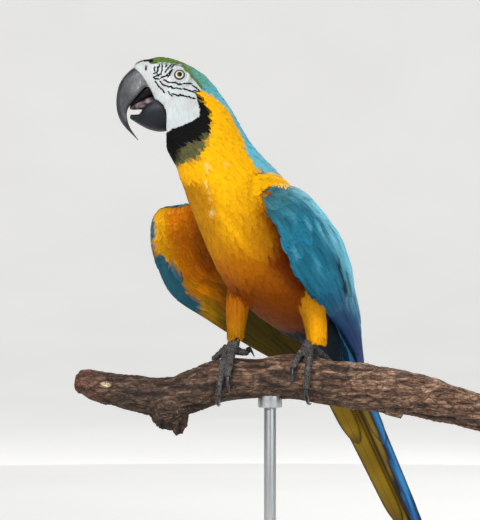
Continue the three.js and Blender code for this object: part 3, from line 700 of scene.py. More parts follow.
def bare_skin():
    """Bare facial skin, thin and matt, creased in short lines and finely pored; the colour is painted,
    darkened in the creases as painted shade.
    """
    material, tree, shader, position = new_material("bare_facial_skin")
    tint = add(tree, "Attribute", attribute_name="tint")
    # Creases about 1.2 mm apart that run down and back across the cheek.
    lie = {"Vector": position, "Rotation": (0, math.radians(38), 0), "Scale": (820, 300, 190)}
    crease = add(tree, "TexNoise", {"Vector": add(tree, "Mapping", lie), "Scale": 1.0, "Detail": 2.0})
    pores = add(tree, "TexVoronoi", {"Vector": position, "Scale": 900.0}, out="Distance")
    blush = add(tree, "TexNoise", {"Vector": position, "Scale": 95.0, "Detail": 2.0})
    warm = add(tree, "ValToRGB", (blush,), stops=[(0.35, "#FFFFFF"), (0.7, "#F6EBE8")])
    # Painted shade: the colour darkens in the creases.
    dark = add(tree, "MapRange", (crease, 0.32, 0.5, 0.84, 1.0))
    colour = add(tree, "VectorMath", (tint, warm), operation="MULTIPLY")
    colour = add(tree, "VectorMath", {0: colour, "Scale": dark}, operation="SCALE")
    height = add(tree, "Math", (pores, 0.3, crease), operation="MULTIPLY_ADD")
    bump = add(tree, "Bump", {"Height": height, "Strength": 0.5, "Distance": 0.0003})
    connect(
        tree, shader, Base_Color=colour, Normal=bump, Roughness=0.55,
        Subsurface_Weight=0.08, Subsurface_Scale=0.002,
    )
    return material


def foot_scales():
    """Scaled foot skin: dark grey horny grains 1.5 mm across, with pale dusty skin between them. They
    are drawn 2.3 mm wide so that they show."""
    material, tree, shader, position = new_material("scaled_foot_skin")
    grains = {"Vector": position, "Scale": 430.0}
    gap = add(tree, "TexVoronoi", grains, feature="DISTANCE_TO_EDGE", out="Distance")
    grey = add(tree, "SeparateColor", (add(tree, "TexVoronoi", grains, out="Color"),))
    tone = add(tree, "ValToRGB", (grey,), stops=[(0.0, "#161518"), (0.6, "#2B292D"), (1.0, "#464449")])
    edge = add(tree, "MapRange", (gap, 0.02, 0.13))
    colour = add(tree, "Mix", {0: edge, 6: shade("#6A6662"), 7: tone}, data_type="RGBA", out=2)
    bump = add(tree, "Bump", {"Height": edge, "Strength": 1.0, "Distance": 0.0007})
    connect(tree, shader, Base_Color=colour, Normal=bump, Roughness=0.6)
    return material


def bill_horn(name, stops, roughness, coat, gloss):
    """Keratin horn: satin, with fine growth lines along it and paler scuffs where it rubs."""
    material, tree, shader, position = new_material(name)
    cloud = add(tree, "TexNoise", {"Vector": position, "Scale": 70.0, "Detail": 5.0, "Roughness": 0.65})
    lie = {"Vector": position, "Rotation": (0, math.radians(-28), 0), "Scale": (900, 900, 60)}
    lines = add(tree, "TexNoise", {"Vector": add(tree, "Mapping", lie), "Scale": 1.0, "Detail": 3.0})
    worn = add(tree, "Attribute", attribute_name="wear", out="Fac")
    level = add(tree, "Math", (cloud, 0.55, worn), operation="MULTIPLY_ADD")
    level = add(tree, "Math", (lines, 0.3, level), operation="MULTIPLY_ADD")
    colour = add(tree, "ValToRGB", (level,), stops=stops)
    bump = add(tree, "Bump", {"Height": level, "Strength": 0.3, "Distance": 0.0003})
    connect(
        tree, shader, Base_Color=colour, Normal=bump, Roughness=roughness,
        Coat_Weight=coat, Coat_Roughness=0.3, Specular_IOR_Level=gloss,
    )
    return material


def moist_skin(name, stops, gloss):
    """The skin inside the mouth: smooth and moist, black with paler pinkish-grey patches on the tongue,
    partly its fleshy colour and partly painted wet highlight.
    """
    material, tree, shader, position = new_material(name)
    cloud = add(tree, "TexNoise", {"Vector": position, "Scale": 160.0, "Detail": 4.0})
    colour = add(tree, "ValToRGB", (cloud,), stops=stops)
    bump = add(tree, "Bump", {"Height": cloud, "Strength": 0.4, "Distance": 0.0004})
    connect(tree, shader, Base_Color=colour, Normal=bump, Roughness=0.35, Specular_IOR_Level=gloss)
    return material


# The painted eye from the middle outwards: pupil, cream iris and dark rim, in shares of 10 mm.
EYE_STOPS = [
    (0.0, "#030303"), (0.235, "#050505"), (0.258, "#6A6450"), (0.285, "#B8B29A"), (0.36, "#CFCABA"),
    (0.395, "#8C8570"), (0.425, "#35322A"), (0.6, "#25231E"),
]


def glass_eye():
    """The eye of a mounted bird: painted iris under a clear polished dome, which gives one sharp glint."""
    material, tree, shader, position = new_material("painted_glass_eye")
    away = add(tree, "Attribute", attribute_name="from_pupil", out="Fac")
    fleck = add(tree, "TexNoise", {"Vector": position, "Scale": 1400.0, "Detail": 2.0})
    ragged = add(tree, "Math", (fleck, 0.03, away), operation="MULTIPLY_ADD")
    colour = add(tree, "ValToRGB", (ragged,), stops=EYE_STOPS)
    connect(
        tree, shader, Base_Color=colour, Roughness=0.4, Specular_IOR_Level=0.1,
        Coat_Weight=0.6, Coat_IOR=1.3, Coat_Roughness=0.02,
    )
    return material


def weathered_branch():
    """A fallen hardwood branch, barkless and weathered: long ridges of grain with cracks between them,
    painted dark as shade, and paler on the ridges as painted highlight. The crack width is 2 to 4 mm."""
    material, tree, shader, position = new_material("weathered_branch_wood")
    tint = add(tree, "Attribute", attribute_name="tint")
    lie = add(tree, "Mapping", {"Vector": position, "Scale": (60, 700, 700)})
    fibre = add(tree, "TexNoise", {"Vector": lie, "Scale": 1.0, "Detail": 4.0, "Roughness": 0.6})
    grit = add(tree, "TexNoise", {"Vector": position, "Scale": 600.0, "Detail": 3.0})
    tone = add(tree, "MapRange", (fibre, 0.34, 0.66, 0.55, 1.4))
    speck = add(tree, "MapRange", (grit, 0.35, 0.65, 0.8, 1.15))
    tone = add(tree, "Math", (tone, speck), operation="MULTIPLY")
    # Wood plates about 14 mm long and 5 mm wide, with cracks winding between them.
    wind = add(tree, "TexNoise", {"Vector": position, "Scale": 130.0, "Detail": 2.0}, out="Color")
    moved = add(tree, "VectorMath", (wind, (0.009, 0.009, 0.009), position), operation="MULTIPLY_ADD")
    plates = add(tree, "Mapping", {"Vector": moved, "Scale": (70, 210, 210)})
    cells = {"Vector": plates, "Scale": 1.0}
    gap = add(tree, "TexVoronoi", cells, feature="DISTANCE_TO_EDGE", out="Distance")
    plate = add(tree, "MapRange", (gap, 0.0, 0.16, 0.3, 1.0))
    # Painted shade: the colour darkens towards the cracks.
    tone = add(tree, "Math", (tone, plate), operation="MULTIPLY")
    colour = add(tree, "VectorMath", {0: tint, "Scale": tone}, operation="SCALE")
    height = add(tree, "Math", (grit, 0.3, plate), operation="MULTIPLY_ADD")
    bump = add(tree, "Bump", {"Height": height, "Strength": 0.8, "Distance": 0.0012})
    connect(tree, shader, Base_Color=colour, Normal=bump, Roughness=0.85)
    return material


def stained_hardwood():
    """A turned hardwood base, stained dark and waxed: straight grain across the disc, satin."""
    material, tree, shader, position = new_material("stained_hardwood")
    lie = add(tree, "Mapping", {"Vector": position, "Scale": (12, 190, 190)})
    grain = add(tree, "TexNoise", {"Vector": lie, "Scale": 1.0, "Detail": 5.0, "Distortion": 0.6})
    colour = add(tree, "ValToRGB", (grain,), stops=[(0.3, "#2A1A11"), (0.5, "#46301F"), (0.7, "#5E4430")])
    bump = add(tree, "Bump", {"Height": grain, "Strength": 0.15, "Distance": 0.0004})
    connect(
        tree, shader, Base_Color=colour, Normal=bump, Roughness=0.42, Coat_Weight=0.2, Coat_Roughness=0.25,
    )
    return material


def brushed_steel():
    """Stainless round bar, brushed along its length: grey metal with fine bright lines."""
    material, tree, shader, position = new_material("brushed_stainless_steel")
    lie = add(tree, "Mapping", {"Vector": position, "Scale": (2600, 2600, 40)})
    lines = add(tree, "TexNoise", {"Vector": lie, "Scale": 1.0, "Detail": 2.0})
    rough = add(tree, "MapRange", (lines, 0.0, 1.0, 0.24, 0.42))
    colour = add(tree, "ValToRGB", (lines,), stops=[(0.3, "#A9ABAE"), (0.7, "#CDCFD1")])
    connect(tree, shader, Base_Color=colour, Roughness=rough, Metallic=1.0)
    return material


def claw_horn():
    """Claw horn: black, dense and polished by the branch, with faint lines along it."""
    material, tree, shader, position = new_material("claw_horn")
    cloud = add(tree, "TexNoise", {"Vector": position, "Scale": 420.0, "Detail": 3.0})
    colour = add(tree, "ValToRGB", (cloud,), stops=[(0.3, "#0E0D0F"), (0.65, "#242226"), (0.8, "#3C393C")])
    bump = add(tree, "Bump", {"Height": cloud, "Strength": 0.2, "Distance": 0.0002})
    connect(
        tree, shader, Base_Color=colour, Normal=bump, Roughness=0.28, Coat_Weight=0.4, Coat_Roughness=0.15,
    )
    return material


def studio_paper(name, glow):
    """Seamless background paper, matt and pale; behind the model it is lit from the back."""
    material, tree, shader, position = new_material(name)
    cloud = add(tree, "TexNoise", {"Vector": position, "Scale": 2.0, "Detail": 2.0})
    colour = add(tree, "ValToRGB", (cloud,), stops=[(0.3, "#E3E2DF"), (0.7, "#E7E6E3")])
    far = add(tree, "VectorMath", (position,), operation="LENGTH", out="Value")
    light = add(tree, "MapRange", (far, 1.3, FLOOR_RADIUS, 0.0, glow))
    connect(
        tree, shader, Base_Color=colour, Roughness=0.9, Emission_Color=colour, Emission_Strength=light,
    )
    return material


down_feather = feather_keratin("contour_feather_keratin", 1.3, 0.06, 0.65, 0.96)
covert_feather = feather_keratin("covert_feather_keratin", 1.5, 0.09, 0.5, 0.82)
flight_feather = feather_keratin("flight_feather_keratin", 1.9, 0.07, 0.45, 0.75)
skin_finish = bare_skin()
scale_finish = foot_scales()


# ---------------------------------------------------------------- the bill's forms

# [outer x, z, inner x, z, half width] in the head's mid plane, mm.
UPPER_BILL = [
    [-122, 599, -110, 583.5, 16.4], [-131.5, 602.5, -117, 582.6, 16.8],
    [-140, 596.5, -122.4, 582.4, 15.8], [-146.8, 587.3, -128.4, 575.4, 13.9],
    [-149.8, 576.6, -133.8, 568.6, 11.4], [-150.4, 567, -138.6, 563, 8.8],
    [-149.2, 558, -140.2, 557.4, 6.6], [-145.9, 549.8, -139.4, 551, 4.8],
    [-141, 543.3, -137.4, 544.6, 3.2], [-135.4, 537.6, -133.8, 538.8, 1.7],
    [-129.4, 531.6, -129, 532.2, 0.6],
]
LOWER_BILL = [
    [-96, 547, -98.5, 562, 18.4], [-99.5, 541.5, -106, 569.5, 20.4],
    [-108, 539.8, -114.5, 570, 19.2], [-118, 541.8, -122.5, 564.8, 16.6],
    [-126, 545.6, -127.4, 557.4, 13.2], [-132.2, 549.4, -131.6, 556.4, 10.2],
    [-137, 552.6, -136.2, 556.4, 7.6],
]
# The room cut out of the lower bill, and out of the upper one.
TROUGH = [
    [-103, 552, -98, 582, 12], [-112, 550, -112, 580, 13.4], [-120, 551, -122, 576, 12],
    [-127, 553.5, -129, 570, 9], [-132.5, 555, -134, 566, 6.4],
]
PALATE = [
    [-112, 587, -110, 560, 10.5], [-121, 584.5, -122, 560, 11], [-130, 578, -131, 560, 9.6],
    [-137, 570, -140, 556, 6.4],
]
# The cere: bare skin that laps over the root of the upper bill.
CERE = [
    [-110, 606, -103, 586, 17.5], [-119, 610.2, -109, 583.6, 18], [-126, 609.8, -113.5, 582, 18],
    [-131.8, 606.6, -117, 580.8, 17.6], [-134.6, 602.2, -119, 582, 16],
]
# Paths of [x, y, z, radius], mm.
PALATE_RIDGE = [
    [-108, HEAD_Y, 582, 7.5], [-114, HEAD_Y, 581.5, 8], [-121, HEAD_Y, 578.5, 7.6],
    [-127.5, HEAD_Y, 573.5, 6], [-133, HEAD_Y, 568.8, 4], [-137.5, HEAD_Y, 566.6, 2.2],
]
TONGUE = [
    [-107, HEAD_Y, 566, 6.5], [-114, HEAD_Y, 567, 7], [-121, HEAD_Y, 567, 6.2],
    [-128, HEAD_Y, 565.6, 4.4], [-134, HEAD_Y, 563.6, 2.6], [-137.2, HEAD_Y, 563, 1.4],
]


def bill_rings(table, count, sides):
    """The ridge is round, and the cutting edges are square."""
    rows = through(table, count)
    angle = np.linspace(0, 2 * math.pi, sides, endpoint=False)
    rise, wide = np.sin(angle), np.cos(angle)
    wide = np.where(rise > 0, signed_power(wide, 0.9), signed_power(wide, 0.45))
    rise = np.where(rise > 0, rise, signed_power(rise, 0.7))
    outer = np.stack([rows[:, 0], np.full(count, HEAD_Y), rows[:, 1]], -1)
    inner = np.stack([rows[:, 2], np.full(count, HEAD_Y), rows[:, 3]], -1)
    centre, ridge = (outer + inner) / 2, (outer - inner) / 2
    rings = centre[:, None] + ridge[:, None] * rise[None, :, None]
    rings[..., 1] += rows[:, 4][:, None] * wide
    return rings * MM


# ---------------------------------------------------------------- the skin

# The CAD nodes that each region of the skin replaces.
REGIONS = {
    "body": ["head", "neck", "trunk", "tail_base"],
    "left_thigh": ["left_thigh"],
    "right_thigh": ["right_thigh"],
    "left_arm": ["left_wing_arm"],
    "right_arm": ["right_wing_arm"],
}
# How far the skin lies under the CAD surface, so that the coat ends at it, mm.
BODY_DEPTH, LIMB_DEPTH, HEAD_DEPTH, FACE_DEPTH = 1.5, 1.6, 1.1, 0.35


def tree_of(nodes):
    """A search tree over the CAD surface of some nodes."""
    points, faces = [], []
    for node in nodes:
        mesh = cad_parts[node].data
        start = len(points)
        points += [v.co.copy() for v in mesh.vertices]
        faces += [tuple(start + i for i in p.vertices) for p in mesh.polygons]
    return BVHTree.FromPolygons(points, faces)


def evened(piece, rounds):
    """A piece's vertices with its facets and steps smoothed away and its size kept."""
    co = vertices_of(piece)[0]
    a, b = read_all(piece.data.edges, "vertices", 2, np.int32).T
    a, b = np.concatenate([a, b]), np.concatenate([b, a])
    share = np.maximum(np.bincount(a, minlength=len(co)), 1)
    for pull in (0.5, -0.52) * rounds:
        mean = np.stack([np.bincount(a, co[b, axis], len(co)) for axis in range(3)], -1) / share[:, None]
        co = co + pull * (mean - co)
    return co


def flesh_form():
    """The fleshy nodes, swollen until their gaps close, as one even mesh."""
    pieces = []
    for node in [n for nodes in REGIONS.values() for n in nodes] + ["left_eye", "right_eye"]:
        piece = merged_copy(node, "flesh_" + node)
        pieces.append(shape_with(piece, "DISPLACE", strength=SWELL * MM, mid_level=0))
    pieces.append(loft("cere", bill_rings(CERE, 24, 40), None))
    flesh = joined(pieces, "skin")
    shape_with(flesh, "REMESH", mode="VOXEL", voxel_size=SKIN_VOXEL * MM)
    move_vertices(flesh, evened(flesh, 16))
    return flesh


region_trees = {name: tree_of(nodes) for name, nodes in REGIONS.items()}


def regions_at(points):
    """The name of the region whose CAD surface is nearest to each point."""
    names = list(REGIONS)
    far = np.array([[region_trees[n].find_nearest(Vector(p))[3] for n in names] for p in points])
    return np.array(names)[np.argmin(far, axis=1)]


def near_face(points, margin):
    """True on the bare face and up to `margin` mm round it."""
    x, z = points[:, 0] / MM, points[:, 2] / MM
    return (side_view(BARE_FACE, x, z) > -margin) & (x < -60) & (np.abs(points[:, 1] / MM - HEAD_Y) < 45)


def refine_face(skin, times):
    """Cuts the faces of the bare face finer."""
    for _ in range(times):
        polygons = skin.data.polygons
        centre = read_all(polygons, "center", 3)
        activate(skin)
        bpy.ops.object.mode_set(mode="EDIT")
        bpy.ops.mesh.select_all(action="DESELECT")
        bpy.ops.object.mode_set(mode="OBJECT")
        polygons.foreach_set("select", near_face(centre, 2.5))
        bpy.ops.object.mode_set(mode="EDIT")
        bpy.ops.mesh.subdivide(number_cuts=1, smoothness=0.6)
        bpy.ops.object.mode_set(mode="OBJECT")


def set_face(co):
    """Sinks the eye openings and nostrils and raises the lids on the bare face. Also returns how dark to
    paint the lids' edges, and the nostrils, whose dark is painted shade.
    """
    rim = np.zeros(len(co))
    for side in (-1, 1):
        axis = np.array([0, side * math.cos(EYE_TILT), math.sin(EYE_TILT)])
        eye = np.array([EYE_X, HEAD_Y + side * EYE_OUT, EYE_Z]) * MM
        gap = (co - eye) / MM
        height = gap @ axis
        out = np.linalg.norm(gap - height[:, None] * axis, axis=1)
        near = (out < 16) & (height > -12)
        # Lid: a rounded ring that drops to the eye inside it; then a shallow crease and a low fold. All
        # are at distances from the eye's axis, mm.
        lid = 1.2 * np.exp(-(((out - 5.9) / 0.8) ** 2)) + 0.4 * np.exp(-(((out - 9.4) / 1.0) ** 2))
        lid -= 0.35 * np.exp(-(((out - 7.4) / 0.6) ** 2))
        lid -= 3.2 * smooth(5.0, 4.2, out)
        level = mix(height[:, None], np.zeros((len(co), 1)), smooth(13, 8.5, out))[:, 0]
        target = np.where(out < 13, level + lid, height + lid)
        co = co + np.where(near, (target - height) * MM, 0)[:, None] * axis
        rim = np.maximum(rim, np.where(near, smooth(5.7, 5.1, out), 0))
        # Painted shade: the nostrils are painted black inside and grey round them.
        hole = (co / MM - (NOSTRIL_X, HEAD_Y + side * NOSTRIL_OUT, NOSTRIL_Z)) / NOSTRIL_SIZE
        deep = smooth(1.25, 0.5, np.linalg.norm(hole, axis=1))
        co = co - deep[:, None] * np.array([0, side * 0.8, 0.6]) * 2.6 * MM
        rim = np.maximum(rim, deep * 1.6)
    return co, rim


skin = flesh_form()
refine_face(skin, 2)
co, normal = vertices_of(skin)
skin_region = regions_at(co)
x, z = co[:, 0] / MM, co[:, 2] / MM
is_head = (skin_region == "body") & (x < -60) & (z > 520) & (np.abs(co[:, 1] / MM - HEAD_Y) < 50)
bare = smooth(-2.5, 0.5, side_view(BARE_FACE, x, z)) * is_head
depth = np.where(skin_region == "body", BODY_DEPTH, LIMB_DEPTH)
depth = np.where(is_head, HEAD_DEPTH, depth)
# The swelling is taken off again too.
depth = depth * (1 - bare) + FACE_DEPTH * bare + SWELL
co = co - normal * (depth * MM)[:, None]
co, rim = set_face(co)
move_vertices(skin, co)
co, normal = vertices_of(skin)


def skin_colours(points, normals, region):
    """The markings of each region, the same as on the feathers over it."""
    colour = np.zeros((len(points), 3))
    for name in REGIONS:
        here = region == name
        if not here.any():
            continue
        if name == "body":
            colour[here] = body_colour(points[here])
        elif name.endswith("thigh"):
            colour[here] = thigh_colour(points[here], name.split("_")[0])
        else:
            wing = left_wing if name == "left_arm" else right_wing
            colour[here] = wing_colour(wing, points[here], normals[here])
    return colour


tint = skin_colours(co, normal, skin_region)
# Dark edges of the lids; in and round the nostrils the grey and black are painted shade.
tint = mix(tint, RIM, np.clip(rim, 0, 1) * 0.85)
tint = mix(tint, BIB, smooth(1.0, 1.6, rim))
mouth = smooth(13, 11, np.abs(co[:, 1] / MM - HEAD_Y))
mouth = mouth * smooth(-103, -106, co[:, 0] / MM) * smooth(586, 583, co[:, 2] / MM)
tint = mix(tint, MOUTH, mouth * is_head)
skin.data.materials.append(skin_finish)

# The feet are finer, so they are meshed by themselves and joined on with their own finish.
feet = joined([merged_copy(side + "_foot", side + "_foot_skin") for side in ("left", "right")], "feet")
remeshed(feet, FOOT_VOXEL, 3)
feet.data.materials.append(scale_finish)
foot_count = len(feet.data.vertices)
skin = joined([skin, feet], "skin")
skin_region = np.concatenate([skin_region, np.full(foot_count, "foot")])
tint = np.vstack([tint, np.tile(FOOT_GREY, (foot_count, 1))])
co, normal = vertices_of(skin)
paint(skin, tint)
shade_softly(skin)
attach(skin, "root")
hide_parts(*[node for nodes in REGIONS.values() for node in nodes], "left_foot", "right_foot")
skin.data.uv_layers.new(name="OFBake")
activate(skin)
bpy.ops.object.mode_set(mode="EDIT")
bpy.ops.mesh.select_all(action="SELECT")
bpy.ops.uv.smart_project(angle_limit=math.radians(66), island_margin=0.003)
bpy.ops.object.mode_set(mode="OBJECT")


# ---------------------------------------------------------------- the coat

skin.data.calc_loop_triangles()
triangles = read_all(skin.data.loop_triangles, "vertices", 3, np.int32)
corners = read_all(skin.data.loop_triangles, "loops", 3, np.int32)
unwrap = read_all(skin.data.uv_layers["OFBake"].data, "uv", 2)
feathered = (skin_region != "foot")[triangles].all(axis=1)
triangles, corners = triangles[feathered], corners[feathered]
skin_tree = BVHTree.FromPolygons([Vector(p) for p in co], triangles.tolist())
corner_a, corner_b, corner_c = (co[triangles[:, k]] for k in range(3))
triangle_area = np.linalg.norm(np.cross(corner_b - corner_a, corner_c - corner_a), axis=1) / 2
triangle_centre = co[triangles].mean(axis=1)
triangle_region = skin_region[triangles[:, 0]]
triangle_normal = unit(normal[triangles].sum(1))


def places_on_unwrap(points):
    """The place on the skin's unwrap nearest to each point."""
    return np.array([unwrap[corners[skin_tree.find_nearest(Vector(p))[2]][0]] for p in points])


def scatter(allowed, spacing):
    """Roots on the allowed triangles, no two closer than spacing(points) mm. Returns places, normals and
    places on the unwrap."""
    area = triangle_area * allowed
    low = spacing(triangle_centre[allowed]).min() * MM
    tries = int(area.sum() / (low * low) * 5)
    pick = rng.choice(len(area), tries, p=area / area.sum())
    a, b = rng.random(tries), rng.random(tries)
    fold = a + b > 1
    a, b = np.where(fold, 1 - a, a), np.where(fold, 1 - b, b)
    weight = np.stack([1 - a - b, a, b], -1)[..., None]
    places = (co[triangles[pick]] * weight).sum(1)
    normals = unit((normal[triangles[pick]] * weight).sum(1))
    uv = (unwrap[corners[pick]] * weight).sum(1)
    room = spacing(places) * MM
    cell = room.max()
    taken, keep = {}, []
    keys = np.floor(places / cell).astype(int)
    near = [(i, j, k) for i in (-1, 0, 1) for j in (-1, 0, 1) for k in (-1, 0, 1)]
    for n in range(tries):
        kx, ky, kz = keys[n]
        px, py, pz = places[n]
        limit = room[n] ** 2
        if all(
            (qx - px) ** 2 + (qy - py) ** 2 + (qz - pz) ** 2 >= limit
            for i, j, k in near
            for qx, qy, qz in taken.get((kx + i, ky + j, kz + k), ())
        ):
            taken.setdefault((kx, ky, kz), []).append((px, py, pz))
            keep.append(n)
    return places[keep], normals[keep], uv[keep]


# Share along a feather, its half width there, and its painted shade from root to tip, darkest at the root
# under the feathers over it.
OUTLINE_AT = np.array([0, 0.3, 0.58, 0.8, 0.94, 1.0])
OUTLINE_HALF = np.array([0.45, 0.85, 1.0, 0.88, 0.5, 0.1])
OUTLINE_SHADE = np.array([0.86, 0.88, 0.94, 1.0, 1.02, 1.03])
# What is left of a feather's length where its tip would lie on another region.
SHORT_AT_WING, SHORT_ELSEWHERE = 0.25, 0.36
HANG_BELOW = 352  # height under which the thighs' feathers hang over the feet, mm


def lay(places, normals, heading, length, rise, hang):
    """Carries each feather's middle line over the skin from its root; one that hangs goes straight on.
    Lengths and heights in metres."""
    rows = len(OUTLINE_AT)
    count = len(places)
    centre, up, ahead = (np.zeros((count, rows, 3)) for _ in range(3))
    at, n = places.copy(), normals.copy()
    way = unit(heading - normals * (heading * normals).sum(-1, keepdims=True))
    for k in range(rows):
        if k:
            at = at + way * (length * (OUTLINE_AT[k] - OUTLINE_AT[k - 1]))[:, None]
            for i in np.flatnonzero(~hang):
                hit, hit_normal, _face, _far = skin_tree.find_nearest(Vector(at[i]), 0.006)
                if hit is not None:
                    at[i], n[i] = hit, mix(n[i], np.array(hit_normal), 0.6)
            n = unit(n)
            way = unit(way - n * (way * n).sum(-1, keepdims=True))
        height = 0.0002 + rise * OUTLINE_AT[k] ** 0.8
        centre[:, k] = at + n * height[:, None]
        up[:, k], ahead[:, k] = n, way
    return centre, np.cross(ahead, up), up


def small_feathers(name, places, normals, uv, heading, length, half, rise, colour, hang=None):
    """Short feathers from their roots on the skin; colour (feathers, 3)."""
    hang = np.zeros(len(places), bool) if hang is None else hang
    centre, side, up = lay(places, normals, heading, length, rise, hang)
    u = np.array([-1, 0, 1])
    across = (half[:, None] * OUTLINE_HALF)[..., None] * u
    sheet = centre[:, :, None] + side[:, :, None] * across[..., None]
    # Painted shade: darker towards the root, and the lower face a darker copy of the upper one.
    above = colour[:, None, None] * OUTLINE_SHADE[None, :, None, None] * np.array([0.96, 1.02, 0.96])[:, None]
    thick = np.outer(np.full(len(places), DOWN_HALF), [1, 1, 1, 0.9, 0.7, 0.4])
    along = length[:, None] * OUTLINE_AT
    return vanes(name, sheet, up, thick, above, above * 0.7, across, along, uv, down_feather)


def coat(name, allowed, spacing, size, heading, colour_of, slot, rise, jitter=6, ends=None):
    """One piece of the coat. spacing(points) in mm; size(points) gives length and half width in mm. A
    feather whose tip would land on another region is cut short. With ends, a line of (x, z) in mm, the
    lowest feathers hang free of the skin and all stop at that line."""
    places, normals, uv = scatter(allowed, spacing)
    length, half = size(places)
    length = length * MM * rng.uniform(0.86, 1.14, len(places))
    half = half * MM * rng.uniform(0.9, 1.1, len(places))
    way = heading(places, normals)
    turn = np.radians(rng.normal(0, jitter, len(places)))[:, None]
    way = way * np.cos(turn) + np.cross(normals, way) * np.sin(turn)
    tip = places + way * length[:, None] + normals * MM
    lands = np.array([triangle_region[skin_tree.find_nearest(Vector(p))[2]] for p in tip])
    own = triangle_region[allowed][0]
    shortened = np.where(np.char.endswith(lands, "arm"), SHORT_AT_WING, SHORT_ELSEWHERE)
    length = np.where(lands == own, length, length * shortened)
    hang = None
    if ends:
        hang = places[:, 2] < HANG_BELOW * MM
        room = (places[:, 2] - np.interp(places[:, 0] / MM, *ends) * MM) / np.maximum(-way[:, 2], 0.3)
        length = np.clip(length, 4 * MM, np.maximum(room, 4 * MM))
    seen = places + way * length[:, None] * 0.6  # about the middle of the part that shows
    colour = colour_of(seen, normals) * rng.normal(1, 0.028, (len(places), 1))
    rises = rise * MM * rng.uniform(0.8, 1.2, len(places))
    small_feathers(name, places, normals, uv, way, length, half, rises, colour, hang)


def by(points_to_value, *table):
    """A function that reads the columns of a table at a value of the points."""
    table = np.array(table, float).T
    return lambda p: tuple(np.interp(points_to_value(p), table[0], column) for column in table[1:])


triangle_station = along_body(triangle_centre)[0]
on_body = triangle_region == "body"
bald = near_face(triangle_centre, -0.6) & on_body
x, y, z = triangle_centre.T / MM
in_mouth = (x < -104) & (np.abs(y - HEAD_Y) < 14) & (z < 598) & (z > 540)
bald |= in_mouth & on_body

# Station, room between feathers, length and half width, mm.
BODY_FEATHERS = by(
    lambda p: along_body(p)[0],
    [0, 4.6, 26, 4.4], [3.5, 4.4, 24, 4.2], [4.8, 3.8, 20, 3.4], [7, 3.3, 19, 3.0], [9, 3.0, 16, 2.7],
    [10.4, 2.4, 12, 2.1], [11.4, 1.9, 8, 1.6], [12.4, 1.5, 5.6, 1.2], [18, 1.35, 4.2, 1.0],
)

for name, low, high, rise, slot in (
    ("head_coat", 11.2, 20, 1.0, "plumage_blue"),
    ("neck_coat", 9.3, 11.2, 1.3, "plumage_yellow"),
    ("breast_coat", 7.1, 9.3, 1.3, "plumage_yellow"),
    ("belly_coat", 4.5, 7.1, 1.3, "plumage_yellow"),
    ("tail_covert_coat", -1, 4.5, 2.0, "plumage_blue"),
):
    part = on_body & ~bald & (triangle_station >= low) & (triangle_station < high)
    coat(
        name, part, lambda p: BODY_FEATHERS(p)[0], lambda p: BODY_FEATHERS(p)[1:],
        lambda p, n: -along_body(p)[2], lambda p, n: body_colour(p), slot, rise,
    )

# Middle lines of the thighs, [x, y, z] from hip to shank, mm.
THIGHS = {
    "left": [[20, 20, 428], [31, 12, 405], [38, 5, 384], [43, 2, 364], [46, 1, 347], [46.5, 1, 331]],
    "right": [[-8, 40, 436], [-20, 30, 408], [-30, 17, 383], [-33.5, 7, 360], [-34, 3, 345], [-34, 2, 336]],
}
# The line that each thigh's feathers end at, over the foot: x, then z, mm.
THIGH_ENDS = {
    "left": ([40, 57], [335, 327.5]),
    "right": ([-43, -38.5, -36, -33, -27], [331.5, 334, 343, 338, 337]),
}
THIGH_FEATHERS = by(lambda p: p[:, 2] / MM, [330, 1.7, 12, 1.1], [360, 2.2, 15, 1.7], [400, 2.8, 17, 2.6])
for side, line in THIGHS.items():
    path = through(line, 60) * MM
    run = unit(np.gradient(path, axis=0))
    here = (triangle_region == side + "_thigh") & (triangle_normal[:, 2] > -0.75)
    coat(
        side + "_thigh_coat", here, lambda p: THIGH_FEATHERS(p)[0], lambda p: THIGH_FEATHERS(p)[1:],
        lambda p, n: run[np.argmin(np.linalg.norm(p[:, None] - path[None], axis=-1), axis=1)],
        lambda p, n: thigh_colour(p, side), "plumage_yellow", 1.2, 7, THIGH_ENDS[side],
    )

# The yellow tuft that lies back over the top of the folded wing.
on_shoulder = (side_view(SHOULDER_PATCH, x + 9, z + 3) > -1.2) & (y < -5) & (triangle_normal[:, 2] > -0.2)
coat(
    "shoulder_tuft", on_shoulder, lambda p: np.full(len(p), 2.2),
    lambda p: (np.full(len(p), 12.0), np.full(len(p), 2.4)),
    lambda p, n: np.tile([0.9, 0.4, -0.1], (len(p), 1)), lambda p, n: np.tile(BREAST * 1.06, (len(p), 1)),
    "plumage_yellow", 2.8, 9,
)

# Share along the wing, room, length and half width of the short feathers on its arm, mm.
ARM_FEATHERS = [0, 2.6, 10, 2.4], [0.2, 3.2, 15, 3.2], [0.6, 4.2, 20, 4.2]
for side, wing in (("left", left_wing), ("right", right_wing)):
    share, chord, _along, out = wing.find(triangle_centre)
    here = (triangle_region == side + "_arm") & (share < 0.5)
    if side == "left":
        here &= (triangle_normal * out).sum(-1) > 0.05
    feathers = by(lambda p: wing.find(p)[0], *ARM_FEATHERS)
    coat(
        side + "_wing_coat", here, lambda p: feathers(p)[0], lambda p: feathers(p)[1:],
        lambda p, n: wing.find(p)[2], lambda p, n: wing_colour(wing, p, n), "plumage_blue", 1.4,
    )


# ---------------------------------------------------------------- black feather lines on the bare face

